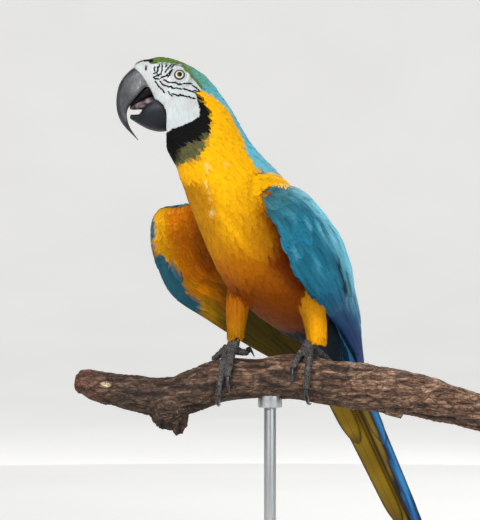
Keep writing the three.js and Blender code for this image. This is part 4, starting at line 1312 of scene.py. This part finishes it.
# Each line in the head's side view, (x, z) in mm.
FACE_LINES = [
    [(-113, 602.8), (-112.7, 598)],
    [(-109.6, 602.8), (-109.6, 598.4), (-110.1, 595.1)],
    [(-106, 605.2), (-105.2, 601.3), (-105.3, 598), (-106.3, 595.3), (-109.2, 593.4), (-112.1, 592.4)],
    [(-114.3, 594.6), (-112.1, 595.3)],
    [(-114.3, 592.1), (-112.1, 590.2), (-108.7, 589.6)],
    [(-107, 589.9), (-104.3, 591.3), (-101.4, 592.1), (-100, 593.6)],
    [(-107.7, 604.2), (-108.5, 601.3)],
    [(-102.6, 601.3), (-101, 603.1), (-99.5, 605)],
    [(-101.2, 597.7), (-99.5, 600.1), (-97.3, 602.5)],
    [(-96.8, 599.6), (-94.5, 602.3)],
    [(-99.5, 594.8), (-97.6, 596.2), (-96.1, 597.7)],
    [(-100, 590.9), (-98.4, 592.7), (-97.1, 595.1)],
    [(-102.6, 595.1), (-101.6, 597)],
    [(-104.5, 588.8), (-101.9, 588.2), (-100.5, 586.9), (-98.4, 586.1)],
    [(-96.6, 586.3), (-92.8, 585.9), (-89.9, 584.4), (-86.8, 584.3)],
    [(-85.2, 585.1), (-81.2, 584.8), (-77.8, 585.1)],
    [(-107.9, 588), (-105.3, 584.9), (-102.4, 583), (-97.6, 581.9), (-94.2, 580.4)],
    [(-92.5, 581.1), (-89.9, 580), (-87.4, 579.5)],
    [(-85.7, 580.3), (-82.1, 579.1), (-78.3, 578), (-73.9, 576.5)],
    [(-111.8, 588), (-109.2, 583.5), (-106.8, 581.1), (-104.3, 578.7), (-103.1, 576.9)],
    [(-99.7, 577.9), (-98.1, 575.3), (-96.3, 573.6)],
    [(-95.8, 575.5), (-92.8, 574.3), (-89.4, 573.1)],
    [(-89.1, 574.3), (-84.1, 572.8), (-80.2, 572.1), (-74.4, 570.6)],
    [(-76.7, 583.8), (-73.4, 581.5), (-70.1, 579.2)],
    [(-75.1, 578.7), (-71.5, 577.6), (-68.1, 576)],
    [(-73.6, 575.3), (-69.1, 573.5)],
]


def face_feathers():
    """Rows of tiny black feathers that cross the bare skin on both cheeks, each 2 to 3 mm long."""
    places, normals, heading = [], [], []
    for side in (-1, 1):
        for line in FACE_LINES:
            line = np.array(line, float)
            steps = np.linalg.norm(np.diff(line, axis=0), axis=1)
            where = np.concatenate([[0], np.cumsum(steps)])
            for s in np.arange(0, steps.sum(), 0.55):
                x, z = (np.interp(s, where, line[:, c]) + rng.normal(0, 0.16) for c in (0, 1))
                k = min(np.searchsorted(where, s, side="right") - 1, len(steps) - 1)
                way = (line[k + 1] - line[k]) / steps[k]
                start, inward = Vector((x, HEAD_Y + side * 60, z)) * MM, Vector((0, -side, 0))
                hit, n, _face, _far = skin_tree.ray_cast(start, inward, 0.06)
                if hit is None:
                    continue
                places.append(hit)
                normals.append(n)
                heading.append((way[0], 0, way[1]))
    places, normals, heading = np.array(places), np.array(normals), np.array(heading)
    count = len(places)
    turn = np.radians(rng.normal(10, 10, count))[:, None]
    heading = heading * np.cos(turn) + np.cross(normals, heading) * np.sin(turn)
    uv = places_on_unwrap(places)
    length = rng.uniform(1.6, 2.6, count) * MM
    half = rng.uniform(0.42, 0.62, count) * MM
    rise, black = np.full(count, 0.3 * MM), np.tile(BIB, (count, 1))
    small_feathers("face_feather_lines", places, normals, uv, heading, length, half, rise, black)


face_feathers()


# ---------------------------------------------------------------- wing feathers

def strap(t, root, tip):
    """Half width of a long feather as a part of its widest: narrow at the quill and round at the tip."""
    end = np.sqrt(np.maximum(1 - (np.maximum(t - (1 - tip), 0) / tip) ** 2, 0.004))
    return (root + (1 - root) * smooth(0, 0.3, t)) * end


def wing_feathers(name, wing, rows_of, upper, colour_above, colour_below, long=True):
    """Feathers over the wing's upper or lower surface, from rows of [root share, root chord, tip share,
    tip chord, half width mm, root lift, tip lift]. They bend with the surface and stop at its edges."""
    steps, columns = (22, 5) if long else (7, 3)
    table = np.array(rows_of)[:, :, None]
    t = np.linspace(0, 1, steps)[None]
    s0, c0, s1, c1, half, l0, l1 = (table[:, k] for k in range(7))
    count = len(rows_of)
    share = s0 + (s1 - s0) * t
    middle = c0 + (c1 - c0) * t**1.2
    ragged = 1 + 0.05 * rng.standard_normal((count, steps)) * smooth(0.5, 1, t)
    width = strap(t, 0.35, 0.12 if long else 0.42) * half * MM * ragged
    outward = np.cross(wing.chord, wing.along) * wing.out
    turn = np.sign(outward.sum()) * (1 if upper else -1)
    u = np.linspace(-1, 1, columns)
    across = width[..., None] * u
    half_chord = np.linalg.norm(wing.row(wing.chord, share.ravel()), axis=-1).reshape(count, steps, 1)
    reach = turn * across / half_chord
    chord = np.clip(middle[..., None] + reach, -0.985, 0.985)
    shares, lift = np.broadcast_arrays(share[..., None], (l0 + (l1 - l0) * t)[..., None], chord)[:2]
    sheet = wing.place(shares.ravel(), chord.ravel(), lift.ravel()).reshape(*chord.shape, 3)
    ahead = np.gradient(sheet[:, :, columns // 2], axis=1)
    up = unit(np.cross(sheet[:, :, -1] - sheet[:, :, 0], ahead))
    flat = (shares.ravel(), chord.ravel(), sheet.reshape(-1, 3))
    tone = rng.normal(1, 0.09, (count, 1, 1, 1))
    tone = tone * (1 + 0.12 * rng.normal(0, 0.6, (count, 1, 1, 1)) * np.array([-0.6, 0.1, 0.3]))
    above = colour_above(*flat).reshape(sheet.shape) * tone
    below = colour_below(*flat).reshape(sheet.shape) * tone
    # Painted shade darkens the long feathers' edges, where they overlap, and the coverts towards their roots,
    # under the row above; the coverts' edges are paler.
    if long:
        above, below = edged(above, u, 0.5, 0.72), edged(below, u, 0.35, 0.6)
    else:
        above = edged(above, u, 1.08, 0.2) * np.interp(t, [0, 0.6, 1], [0.68, 0.93, 1.1])[..., None, None]
    sheet = sheet + (up * rng.uniform(-0.2, 0.2, (count, 1, 1)) * MM)[:, :, None]
    length = np.linalg.norm(np.diff(sheet[:, :, columns // 2], axis=1), axis=-1).cumsum(axis=1)
    length = np.hstack([np.zeros((count, 1)), length])
    thick = np.full((count, steps), STIFF_HALF) * (1.15 - 0.7 * t) * (1 if long else 0.5)
    roots = None if long else places_on_unwrap(sheet[:, 0, columns // 2])
    finish, slot = (flight_feather, "flight_feathers") if long else (covert_feather, "plumage_blue")
    return vanes(name, sheet, up, thick, above, below, across, length, roots, finish)


def edged(colour, u, tone, start):
    """Darkens a vane's two edges."""
    return colour * (1 + (tone - 1) * smooth(start, 1.0, np.abs(u)))[:, None]


def fan(count, share, chord, reach, tip_chord, half, lift, spread=0.0):
    """Feathers side by side: each argument pair is its value at the leading and the trailing end."""
    rows = []
    for i in range(count):
        f = (i + rng.uniform(-0.2, 0.2)) / (count - 1)
        pairs = (share, chord, reach, tip_chord, half)
        root, root_chord, tip, end_chord, width = (first + (last - first) * f for first, last in pairs)
        rows.append([
            root + rng.normal(0, 0.007), np.clip(root_chord, -0.94, 0.94), tip + rng.normal(0, 0.012),
            np.clip(end_chord + rng.normal(0, spread), -0.94, 0.94), width * rng.uniform(0.9, 1.1),
            lift[0] + 0.03 * (i % 2), lift[1] + 0.04 * (i % 2),
        ])
    return rows


def rows_of_coverts(first, last, step, reach, count, half, sign):
    """Overlapping rows of short feathers from the shoulder outwards."""
    rows = []
    lift = (0.86 * sign, 1.08 * sign)
    for share in np.arange(first, last, step):
        tip = share + reach
        rows += fan(count, (share, share), (-0.93, 0.93), (tip, tip), (-0.92, 0.93), (half, half), lift, 0.02)
    return rows


def dark_olive(_share, _chord, p):
    """The far side of a wing's feathers, which is seen only between them."""
    return mix(OLIVE_GOLD, OLIVE_DARK, smooth(-0.4, 0.7, wobble(p, 30, 19) + 0.5))


for side, wing in (("left", left_wing), ("right", right_wing)):
    # The upper sheet is coverts over secondaries over primaries; the lower one the same from below.
    upper = (
        fan(12, (0.60, 0.60), (-0.8, 0.5), (0.99, 0.9), (-0.7, 0.9), (6.0, 6.4), (0.1, 0.0))
        + fan(14, (0.44, 0.42), (-0.9, 0.92), (0.84, 0.74), (-0.88, 0.92), (6.2, 6.4), (0.7, 0.5))
        + fan(15, (0.33, 0.33), (-0.92, 0.93), (0.62, 0.58), (-0.92, 0.93), (5.4, 5.6), (0.84, 0.9), 0.02)
    )
    piece = wing_feathers(side + "_upper_flight_feathers", wing, upper, True, upper_wing_colour, dark_olive)
    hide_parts(side + "_secondaries")
    coverts = rows_of_coverts(0.26, 0.42, 0.04, 0.16, 15, 4.6, 1)
    coverts += rows_of_coverts(0.01, 0.28, 0.028, 0.09, 14, 4.0, 1)
    wing_feathers(side + "_upper_coverts", wing, coverts, True, upper_wing_colour, dark_olive, long=False)
    lower = (
        fan(10, (0.5, 0.5), (-0.85, 0.6), (0.97, 0.9), (-0.85, 0.8), (6.5, 7.5), (-0.75, -0.5))
        + fan(13, (0.42, 0.4), (-0.85, 0.9), (0.86, 0.74), (-0.85, 0.9), (7, 7), (-0.9, -0.85))
    )
    # The folded wing shows only blue, from behind too, where its inner feathers lie along the back.
    lining = under_wing_colour if side == "right" else upper_wing_colour
    piece = wing_feathers(side + "_under_flight_feathers", wing, lower, False, lining, upper_wing_colour)
    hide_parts(side + "_primaries")
    if side == "right":
        coverts = rows_of_coverts(0.3, 0.56, 0.045, 0.15, 14, 4.8, -1)
        coverts += rows_of_coverts(0.02, 0.32, 0.03, 0.1, 13, 4.0, -1)
        wing_feathers(
            side + "_under_coverts", wing, coverts, False, under_wing_colour, upper_wing_colour, long=False,
        )


# ---------------------------------------------------------------- tail feathers

TAIL_ROOT = np.array([54.5, 75, 354]) * MM
TAIL_LENGTHS = [460, 425, 392, 362, 336, 188]  # from the middle pair outwards, mm
TAIL_LONGEST = TAIL_LENGTHS[0]
TAIL_START = -16  # where the quills begin, before the root, mm
TIP_ROUNDING = 46  # length of the rounded tip, mm
TAIL_U = np.linspace(-1, 1, 7)  # the columns of a tail feather, from edge to edge
tail_forward, tail_back, tail_left = directions(np.array(26.0), np.array(43.0))


def tail_place(s, lateral, drop):
    """Points `s` mm down the tail from its root, `lateral` mm to its left and `drop` mm out from it."""
    along, aside, out = s[:, None], lateral[:, None], drop[:, None]
    return TAIL_ROOT + (-tail_forward * along + tail_left * aside + tail_back * out) * MM


def tail_half_width(s):
    """Half the width of a tail feather, before its tip: narrow at the quill, then tapering, mm."""
    return (4 + 8.5 * smooth(TAIL_START, 90, s)) * (1 - 0.4 * s / TAIL_LONGEST)


def tail_sheets():
    """The middle surfaces of twelve long feathers. The middle pair is on top and longest, and each lies
    on the next pair out. Returns the sheets, their outward sides and the distances across and along."""
    steps = 46
    share = np.linspace(0, 1, steps) ** 0.9
    share[-6:] = np.linspace(share[-6], 1, 6)
    sheet, up, across, along = [], [], [], []
    for pair, length in enumerate(TAIL_LENGTHS):
        for side in (1, -1):
            s = TAIL_START + share * (length - TAIL_START)
            lateral = side * (3 + 3 * pair) * (1 - 0.45 * s / TAIL_LONGEST)
            drop = -(2 * pair + (side < 0)) * 1.05 - lateral**2 / 180
            way = unit(tail_left - tail_back * (lateral / 90)[:, None])
            past = np.maximum(s - (length - TIP_ROUNDING), 0) / TIP_ROUNDING
            half = tail_half_width(s) * np.sqrt(np.maximum(1 - past**2, 0.004)) * MM
            line = tail_place(s, lateral, drop)
            sheet.append(line[:, None] + way[:, None] * (half[:, None] * TAIL_U)[..., None])
            up.append(unit(tail_back + tail_left * (lateral / 90)[:, None]))
            across.append(half[:, None] * TAIL_U)
            along.append(s * MM)
    return (np.array(a) for a in (sheet, up, across, along))


def tail():
    """The long feathers' upper face is blue. Their lower face is old gold with dark edges, but blue along
    the tail's left side, streaked lighter with painted highlight."""
    sheet, up, across, along = tail_sheets()
    s = (along / MM)[..., None] + 0 * TAIL_U
    off = ((sheet - TAIL_ROOT) @ tail_left) / MM
    glow = wobble(sheet.reshape(-1, 3), 60, 21).reshape(s.shape)
    blue = mix(TAIL_BLUE, TAIL_TIP_BLUE, smooth(60, 420, s + 40 * glow))
    gold = mix(OLIVE_GOLD, PALE_GOLD, smooth(-1, 1, glow))
    length = np.array(TAIL_LENGTHS).repeat(2)[:, None, None]
    gold = mix(gold, QUILL_DARK, 0.7 * smooth(0.86, 1.0, s / length))
    gold = edged(gold, TAIL_U, 0.45, 0.72)
    # The left side's outer vanes: how far out they begin narrows with the tail.
    rim = np.interp(s, [168, 216, 268, 325, 385, 440], [18, 15, 12, 9, 6, 3]) * (1 - 0.45 * s / TAIL_LONGEST)
    rim = rim + tail_half_width(s) - 11
    wide = 2.5 + 2.5 * smooth(180, 260, s)
    gold = mix(gold, QUILL_DARK, smooth(rim - wide, rim - wide + 2, off))
    # Painted highlight: lighter streaks along the blue strip.
    streak = wobble(np.stack([s, 14 * off, 0 * s], -1).reshape(-1, 3) * MM, 60, 25).reshape(s.shape)
    strip = mix(STRIP_DARK, STRIP_HIGHLIGHT, smooth(-0.6, 0.7, streak))
    gold = mix(gold, strip, smooth(rim + 0.5, rim + 1.5, off))
    blue = edged(blue, TAIL_U, 0.3, 0.6)
    blue[:, :, [0, -1]] = OLIVE_DARK * 0.5
    thick = np.full(along.shape, STIFF_HALF)
    finish, slot = flight_feather, "flight_feathers"
    piece = vanes("tail_feathers", sheet, up, thick, blue, gold, across, along, None, finish)
    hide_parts(*[f"tail_feather_{side}_{n}" for side in ("left", "right") for n in range(1, 7)])


tail()


def tail_root_coverts():
    """Feathers that lie along both sides of the tail's root and close it to the wings, blue above and dark
    below, where the dark navy is painted shade between the wings and the tail."""
    share, u = np.linspace(0, 1, 9), np.linspace(-1, 1, 5)
    before = 36  # the first ones begin this far before the tail's root, mm
    sheet, up, across, along = [], [], [], []
    for k in range(16):
        for side in (1, -1):
            s = -before + 8 * (k % 3) + share * (74 + 6 * (k % 4))
            lateral = side * (9 + 1.05 * k) * (1 - 0.12 * share)
            drop = -13 + 0.45 * k - 3 * share
            way = unit(tail_left - tail_back * side * 0.35)
            tip = np.sqrt(np.maximum(1 - smooth(0.72, 1, share), 0.01))
            half = (2 + 4.5 * smooth(0, 0.4, share)) * tip * MM
            line = tail_place(s, lateral, drop)
            sheet.append(line[:, None] + way * (half[:, None] * u)[..., None])
            up.append(np.tile(unit(tail_back + tail_left * side * 0.35), (len(share), 1)))
            across.append(half[:, None] * u)
            along.append((s + before) * MM)
    sheet, up, across, along = (np.array(a) for a in (sheet, up, across, along))
    light = rng.random((len(sheet), 1, 1)) * smooth(0.2, 1, share)[None, :, None] * np.ones(sheet.shape[:3])
    # Painted shade: the lower faces are dark navy.
    under = edged(mix(SHADE_NAVY, ROOT_UNDER_SHADE, light), u, 0.5, 0.5)
    upper = edged(mix(ROOT_UPPER_DARK, ROOT_UPPER_LIGHT, light), u, 0.5, 0.5)
    thick = np.full(along.shape, THIN_HALF)
    finish, slot = covert_feather, "plumage_blue"
    vanes("tail_root_coverts", sheet, up, thick, upper, under, across, along, None, finish)


tail_root_coverts()


def inner_edge_feathers():
    """Black inner feathers that show behind the folded wing's back edge."""
    t, u = np.linspace(0, 1, 14), np.linspace(-1, 1, 3)
    arch = np.sin(math.pi * t)
    sheet, up, across, along = [], [], [], []
    for start, end, reach in ((0.36, 0.5, 3.2), (0.39, 0.54, 4.2), (0.42, 0.58, 3.4)):
        share = start + (end - start) * t
        away = unit(left_wing.row(left_wing.chord, share))
        edge = left_wing.place(share, np.full(len(t), 0.95), np.full(len(t), -0.6))
        line = edge + away * (reach * arch**0.7 * MM)[:, None]
        half = 3 * np.sqrt(np.maximum(arch, 0.02)) * MM
        sheet.append(line[:, None] - away[:, None] * (half[:, None] * u)[..., None])
        up.append(left_wing.row(left_wing.out, share))
        across.append(-half[:, None] * u)
        along.append(t * 40 * MM)
    sheet, up, across, along = (np.array(a) for a in (sheet, up, across, along))
    black, thick = np.broadcast_to(BIB, sheet.shape), np.full(along.shape, THIN_HALF)
    finish, slot = flight_feather, "flight_feathers"
    vanes("inner_edge_feathers", sheet, up, thick, black, black, across, along, None, finish)


inner_edge_feathers()


# ---------------------------------------------------------------- bill, tongue and eyes

def hollowed(name, table, hollow, material, count):
    """A bill's horn with its hollow side cut out, so that its cutting edges are thin."""
    bill = loft(name, bill_rings(table, count, 44), material)
    tool = loft("hollow", bill_rings(hollow, 31, 34), material)
    shape_with(bill, "BOOLEAN", operation="DIFFERENCE", object=tool, solver="EXACT")
    bpy.data.objects.remove(tool)
    activate(bill)
    bpy.ops.object.shade_smooth_by_angle(angle=math.radians(42))
    return bill


def finish_piece(piece, slot, *nodes):
    """Says what body a piece rides on and the CAD nodes it replaces; slot is not used."""
    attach(piece, "root")
    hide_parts(*nodes)
    return piece


UPPER_HORN_STOPS = [(0.3, "#26282B"), (0.55, "#55575A"), (0.8, "#808284"), (1.0, "#C4C5C4")]
LOWER_HORN_STOPS = [(0.3, "#121419"), (0.6, "#22262C"), (0.9, "#42474E")]
# The upper bill's ridge, x at each height z, and twelve points of its cutting edge, mm.
RIDGE_LINE = [531, 560, 577, 590, 603], [-131, -149.5, -149.8, -145, -131]
CUTTING_EDGE_X = np.linspace(-130, -117.5, 12)
CUTTING_EDGE_Z = [570, 571.8, 573.5, 575, 576.4, 577.6, 578.8, 580, 581, 582, 582.8, 583.4]


def upper_bill_wear(p):
    """Paler in a scuffed patch on its side, at the hook and along the cutting edge, darker at the ridge."""
    x, z = p[:, 0], p[:, 2]
    patch = np.exp(-(((x + 127) / 9) ** 2) - ((z - 584) / 9) ** 2)
    hook = smooth(572, 545, z)
    scratch = np.maximum(wobble(p * MM * (1, 1, 0.35), 3.5, 41), 0) * patch
    near_edge = np.min([np.hypot(x - ex, z - ez) for ex, ez in zip(CUTTING_EDGE_X, CUTTING_EDGE_Z)], axis=0)
    rim = smooth(2.2, 0.6, near_edge)
    dark = smooth(4.5, 1.0, np.abs(x - np.interp(z, *RIDGE_LINE)))
    return 0.05 + 0.26 * patch + 0.25 * scratch + 0.04 * hook + 0.5 * rim - 0.2 * dark


def lower_bill_wear(p):
    """Paler along its cutting edge and at its tip."""
    return 0.05 + 0.3 * smooth(562, 569, p[:, 2]) + 0.1 * smooth(-124, -134, p[:, 0])


upper_horn = bill_horn("upper_bill_horn", UPPER_HORN_STOPS, 0.45, 0.06, 0.3)
upper_bill = hollowed("upper_bill_horn", UPPER_BILL, PALATE, upper_horn, 72)
set_values(upper_bill, "wear", upper_bill_wear(vertices_of(upper_bill)[0] / MM))
finish_piece(upper_bill, "bill_horn", "upper_bill")

lower_horn = bill_horn("lower_bill_horn", LOWER_HORN_STOPS, 0.42, 0.04, 0.14)
lower_bill = hollowed("lower_bill_horn", LOWER_BILL, TROUGH, lower_horn, 50)
set_values(lower_bill, "wear", lower_bill_wear(vertices_of(lower_bill)[0] / MM))
finish_piece(lower_bill, "bill_horn", "lower_bill")

# The tongue is painted dark, partly its own black and partly painted shade inside the mouth.
tongue_skin = moist_skin("moist_tongue_skin", [(0.38, "#151214"), (0.5, "#4A3F42"), (0.66, "#8A7878")], 0.3)
finish_piece(loft("tongue_skin", tube_rings(TONGUE, 34, 28), tongue_skin), "tongue", "tongue")
palate_skin = moist_skin("moist_palate_skin", [(0.3, "#0B0A0B"), (0.7, "#1A1618")], 0.12)
finish_piece(loft("palate_skin", tube_rings(PALATE_RIDGE, 34, 28), palate_skin), "bill_horn")

def eyeball(side, node, finish):
    """A glass ball whose cornea domes a little over the iris, turned out and up in its socket."""
    axis = Vector((0, side * math.cos(EYE_TILT), math.sin(EYE_TILT)))
    centre = (Vector((EYE_X, HEAD_Y + side * EYE_OUT, EYE_Z)) - axis * EYE_SUNK) * MM
    turn = axis.to_track_quat("Z", "Y").to_euler()
    bpy.ops.mesh.primitive_uv_sphere_add(
        segments=72, ring_count=48, radius=EYE_RADIUS * MM, location=centre, rotation=turn,
    )
    ball = bpy.context.object
    ball.name = ball.data.name = node + "_glass"
    bpy.ops.object.transform_apply(location=True, rotation=True, scale=True)
    bpy.ops.object.shade_smooth()
    axis, centre = np.array(axis), np.array(centre)
    co = vertices_of(ball)[0] - centre
    height = co @ axis
    out = np.linalg.norm(co - height[:, None] * axis, axis=1)
    dome = 0.35 * MM * smooth(5.4 * MM, 0, out) * (height > 0)
    move_vertices(ball, co + centre + dome[:, None] * axis)
    set_values(ball, "from_pupil", np.where(height > 0, out / (10 * MM), 1.0))
    ball.data.materials.append(finish)
    finish_piece(ball, "eye", node)


eye_finish = glass_eye()
eyeball(-1, "left_eye", eye_finish)
eyeball(1, "right_eye", eye_finish)


# ---------------------------------------------------------------- claws

claw_finish = claw_horn()
for side in ("left", "right"):
    for toe in ("inner", "outer", "hind_inner", "hind_outer"):
        node = f"{side}_claw_{toe}"
        claw = merged_copy(node, node + "_horn")
        remeshed(claw, CLAW_VOXEL, 3)
        bpy.ops.object.shade_smooth()
        claw.data.materials.append(claw_finish)
        finish_piece(claw, "claw", node)


# ---------------------------------------------------------------- the branch

# Paths of [x, y, z, radius], mm: the branch, the stub under its thick end and the twig beyond the feet.
BRANCH = [
    [-195, 0, 294, 6], [-191, 0, 293.5, 11], [-183, 0, 292.5, 13.4], [-170, 0, 288.5, 15.6],
    [-150, 0, 284.5, 17.4], [-130, 0, 280.8, 18.4], [-112, 0, 278, 19.6], [-95, 0, 278.5, 20.4],
    [-76, 0, 284.5, 21.4], [-57, 0, 292.5, 21.4], [-39, 0, 296, 21.4], [-9, 0, 296.3, 20.6],
    [26, 0, 298.4, 22.8], [58, 0, 292.6, 22.8], [98, 0, 287.4, 23.4], [138, 0, 281.5, 22.2],
    [178, 0, 272, 20], [210, 0, 262, 18.2], [232, 0, 255, 17.2],
]
STUB = [
    [-95, 0, 284, 20], [-99, 0, 268, 22], [-97, 0, 258.5, 20], [-93, 0, 250, 12.5], [-91.5, -1, 244, 7],
    [-91, -1, 239.6, 3],
]
TWIG = [[104, 0, 274, 9], [120, -6, 265, 6], [132, -9, 259.5, 3.8]]


FEET_X = 38  # the feet grip at this distance to each side of the middle, mm


def wood_relief(p):
    """Ridges and grain that run along the branch, and upright on the stub under it."""
    down_stub = smooth(268, 256, p[:, 2] / MM) * smooth(26, 16, np.abs(p[:, 0] / MM + 93))
    ridges, grain = np.empty(len(p)), np.empty(len(p))
    for i, (x, y, z) in enumerate(p):
        bend = 0.005 * noise.noise(Vector((x, y, z)) * 38)
        lengthways = Vector((x * 30, (y + bend) * 118, (z + bend) * 118))
        upright = Vector(((x + bend) * 118, y * 118, z * 34))
        place = lengthways.lerp(upright, down_stub[i])
        coarse, fine = (1 - 2.4 * abs(noise.noise(spot)) for spot in (place, place * 2.9))
        ridges[i] = 0.62 * coarse + 0.38 * fine
        grain[i] = noise.fractal(place * 5.3, 0.9, 2.1, 2)
    return ridges - 0.45 + 0.3 * grain


def branch_colour(p, n, relief):
    """Brown in the cracks and pale on the ridges, as painted shade and highlight, darker underneath as
    painted shade, with a red broken end and a sawn end; p in mm.
    """
    # Painted shade in the cracks and painted highlight on the ridges.
    colour = mix(CRACK_SHADE_BROWN, WOOD_BROWN, smooth(-0.5, 0.05, relief))
    colour = mix(colour, RIDGE_HIGHLIGHT_WOOD, smooth(0.1, 0.5, relief) * 0.85)
    # Painted shade: darker where the wood faces down.
    colour = colour * (1 - 0.35 * smooth(0.2, -0.7, n[:, 2]))[:, None]
    # The thick end is darkest, and the wood lightens towards the far end.
    along_tone = np.interp(p[:, 0], [-190, -160, -90, 0, 60, 130], [0.7, 0.36, 0.45, 0.66, 0.85, 1.0])
    colour = mix(colour * along_tone[:, None], RED_WOOD, 0.35 * smooth(-150, -190, p[:, 0]))
    chip = smooth(4.5, 2.5, np.linalg.norm((p - (-163.5, -15, 291.5)) / (1.5, 2, 0.8), axis=1))
    colour = mix(colour, CHIPPED_WOOD, chip)
    colour = mix(colour, CUT_WOOD, smooth(229.5, 231.5, p[:, 0]) * 0.8)
    return mix(colour, BROKEN_WOOD, smooth(-189, -193, p[:, 0]) * 0.8)


def branch():
    """The branch, its stub and its twig as one piece of weathered wood."""
    wood = weathered_branch()
    forms = (BRANCH, 120, 48), (STUB, 24, 32), (TWIG, 14, 20)
    parts = [loft("branch_part", tube_rings(path, count, sides), wood) for path, count, sides in forms]
    piece = joined(parts, "weathered_branch")
    remeshed(piece, BRANCH_VOXEL, 2)
    p, n = vertices_of(piece)
    relief = wood_relief(p)
    # The feet close on the wood they were set on, so it keeps to that level there.
    lumps = wobble(p, 46, 31) * 0.5
    height = (1.9 * relief + lumps - 0.7) * (1 - 0.5 * smooth(30, 20, np.abs(np.abs(p[:, 0] / MM) - FEET_X)))
    move_vertices(piece, p + n * (height * MM)[:, None])
    colour = branch_colour(p / MM, n, relief)
    paint(piece, colour)
    shade_softly(piece)
    finish_piece(piece, "branch_wood", "perch_branch")


branch()


# ---------------------------------------------------------------- the display stand

def turned_piece(name, radius, low, high, bevel, sides, material, slot, node):
    """A turned disc or bar, its edges eased; sizes in mm."""
    bpy.ops.mesh.primitive_cylinder_add(
        vertices=sides, radius=radius * MM, depth=(high - low) * MM, location=(0, 0, (high + low) / 2 * MM),
    )
    piece = bpy.context.object
    piece.name = piece.data.name = name
    bpy.ops.object.transform_apply(location=True, rotation=True, scale=True)
    sharp = math.radians(50)
    shape_with(piece, "BEVEL", width=bevel * MM, segments=4, limit_method="ANGLE", angle_limit=sharp)
    bpy.ops.object.shade_smooth_by_angle(angle=math.radians(35))
    piece.data.materials.append(material)
    return finish_piece(piece, slot, node)


steel = brushed_steel()
turned_piece("turned_base", 150, 0, 18, 2.6, 160, stained_hardwood(), "stand_wood", "stand_base")
turned_piece("steel_rod", 6, 17, 269, 0.4, 48, steel, "stand_steel", "stand_rod")
turned_piece("steel_cup", 12, 267.4, 281.6, 1.2, 64, steel, "stand_steel", "stand_cup")


# ---------------------------------------------------------------- studio, light and camera

def studio():
    """A pale floor, and paper round it for the camera alone."""
    sides = 96
    bpy.ops.mesh.primitive_circle_add(vertices=sides, radius=FLOOR_RADIUS, fill_type="NGON")
    floor = bpy.context.object
    floor.name = "studio_floor"
    floor.data.materials.append(studio_paper("pale_seamless_paper", 0.34))
    # Beyond the floor the paper goes on and curves up all round, seen by the camera alone.
    angle = np.linspace(0, 2 * math.pi, sides, endpoint=False)
    profile = [(FLOOR_RADIUS, 0), (5.5, 0), (7.0, 0.25), (8.1, 1.0), (8.8, 2.2), (9.0, 4.0), (9.0, 9.0)]
    rings = np.array([[(r * math.cos(a), r * math.sin(a), h) for a in angle] for r, h in profile])
    quads, _caps = ring_faces(len(profile), sides)
    paper = studio_paper("backlit_seamless_paper", 0.52)
    wall = mesh_piece("studio_wall", rings.reshape(-1, 3), [quads[:, ::-1]], paper)
    shape_with(wall, "SUBSURF", levels=2, render_levels=2)
    shade_softly(wall)
    wall.visible_diffuse = wall.visible_glossy = wall.visible_shadow = wall.visible_transmission = False


studio()


def softbox(name, place, aim, size, power, colour):
    """A soft rectangular lamp turned to its aim."""
    data = bpy.data.lights.new(name, "AREA")
    data.shape = "RECTANGLE"
    data.size, data.size_y = size
    data.energy = power
    data.color = colour
    lamp = bpy.data.objects.new(name, data)
    bpy.context.scene.collection.objects.link(lamp)
    lamp.location = place
    lamp.rotation_euler = (Vector(aim) - Vector(place)).to_track_quat("-Z", "Y").to_euler()


softbox("key_softbox", (-1.5, -2.6, 2.4), (-0.02, 0, 0.42), (2.0, 2.0), 122, (1.0, 0.99, 0.97))
softbox("fill_softbox", (1.6, -1.8, 1.2), (0, 0, 0.42), (1.6, 1.6), 16, (0.95, 0.98, 1.0))
softbox("back_softbox", (0.9, 1.6, 2.0), (0, 0, 0.45), (1.2, 1.2), 36, (1.0, 1.0, 1.0))

world = bpy.data.worlds.new("studio_air")
bpy.context.scene.world = world
world.use_nodes = True
world.node_tree.nodes["Background"].inputs["Color"].default_value = (0.95, 0.97, 1.0, 1)
world.node_tree.nodes["Background"].inputs["Strength"].default_value = 0.42

bpy.context.scene.view_settings.view_transform = "Standard"
bpy.context.scene.view_settings.look = "None"

camera_data = bpy.data.cameras.new("camera")
camera_data.lens, camera_data.sensor_width = 173.1, 36
camera = bpy.data.objects.new("camera", camera_data)
bpy.context.scene.collection.objects.link(camera)
camera.location = (-0.03, -2.5, 0.415)
camera.rotation_euler = (math.radians(90), 0, 0)
bpy.context.scene.camera = camera
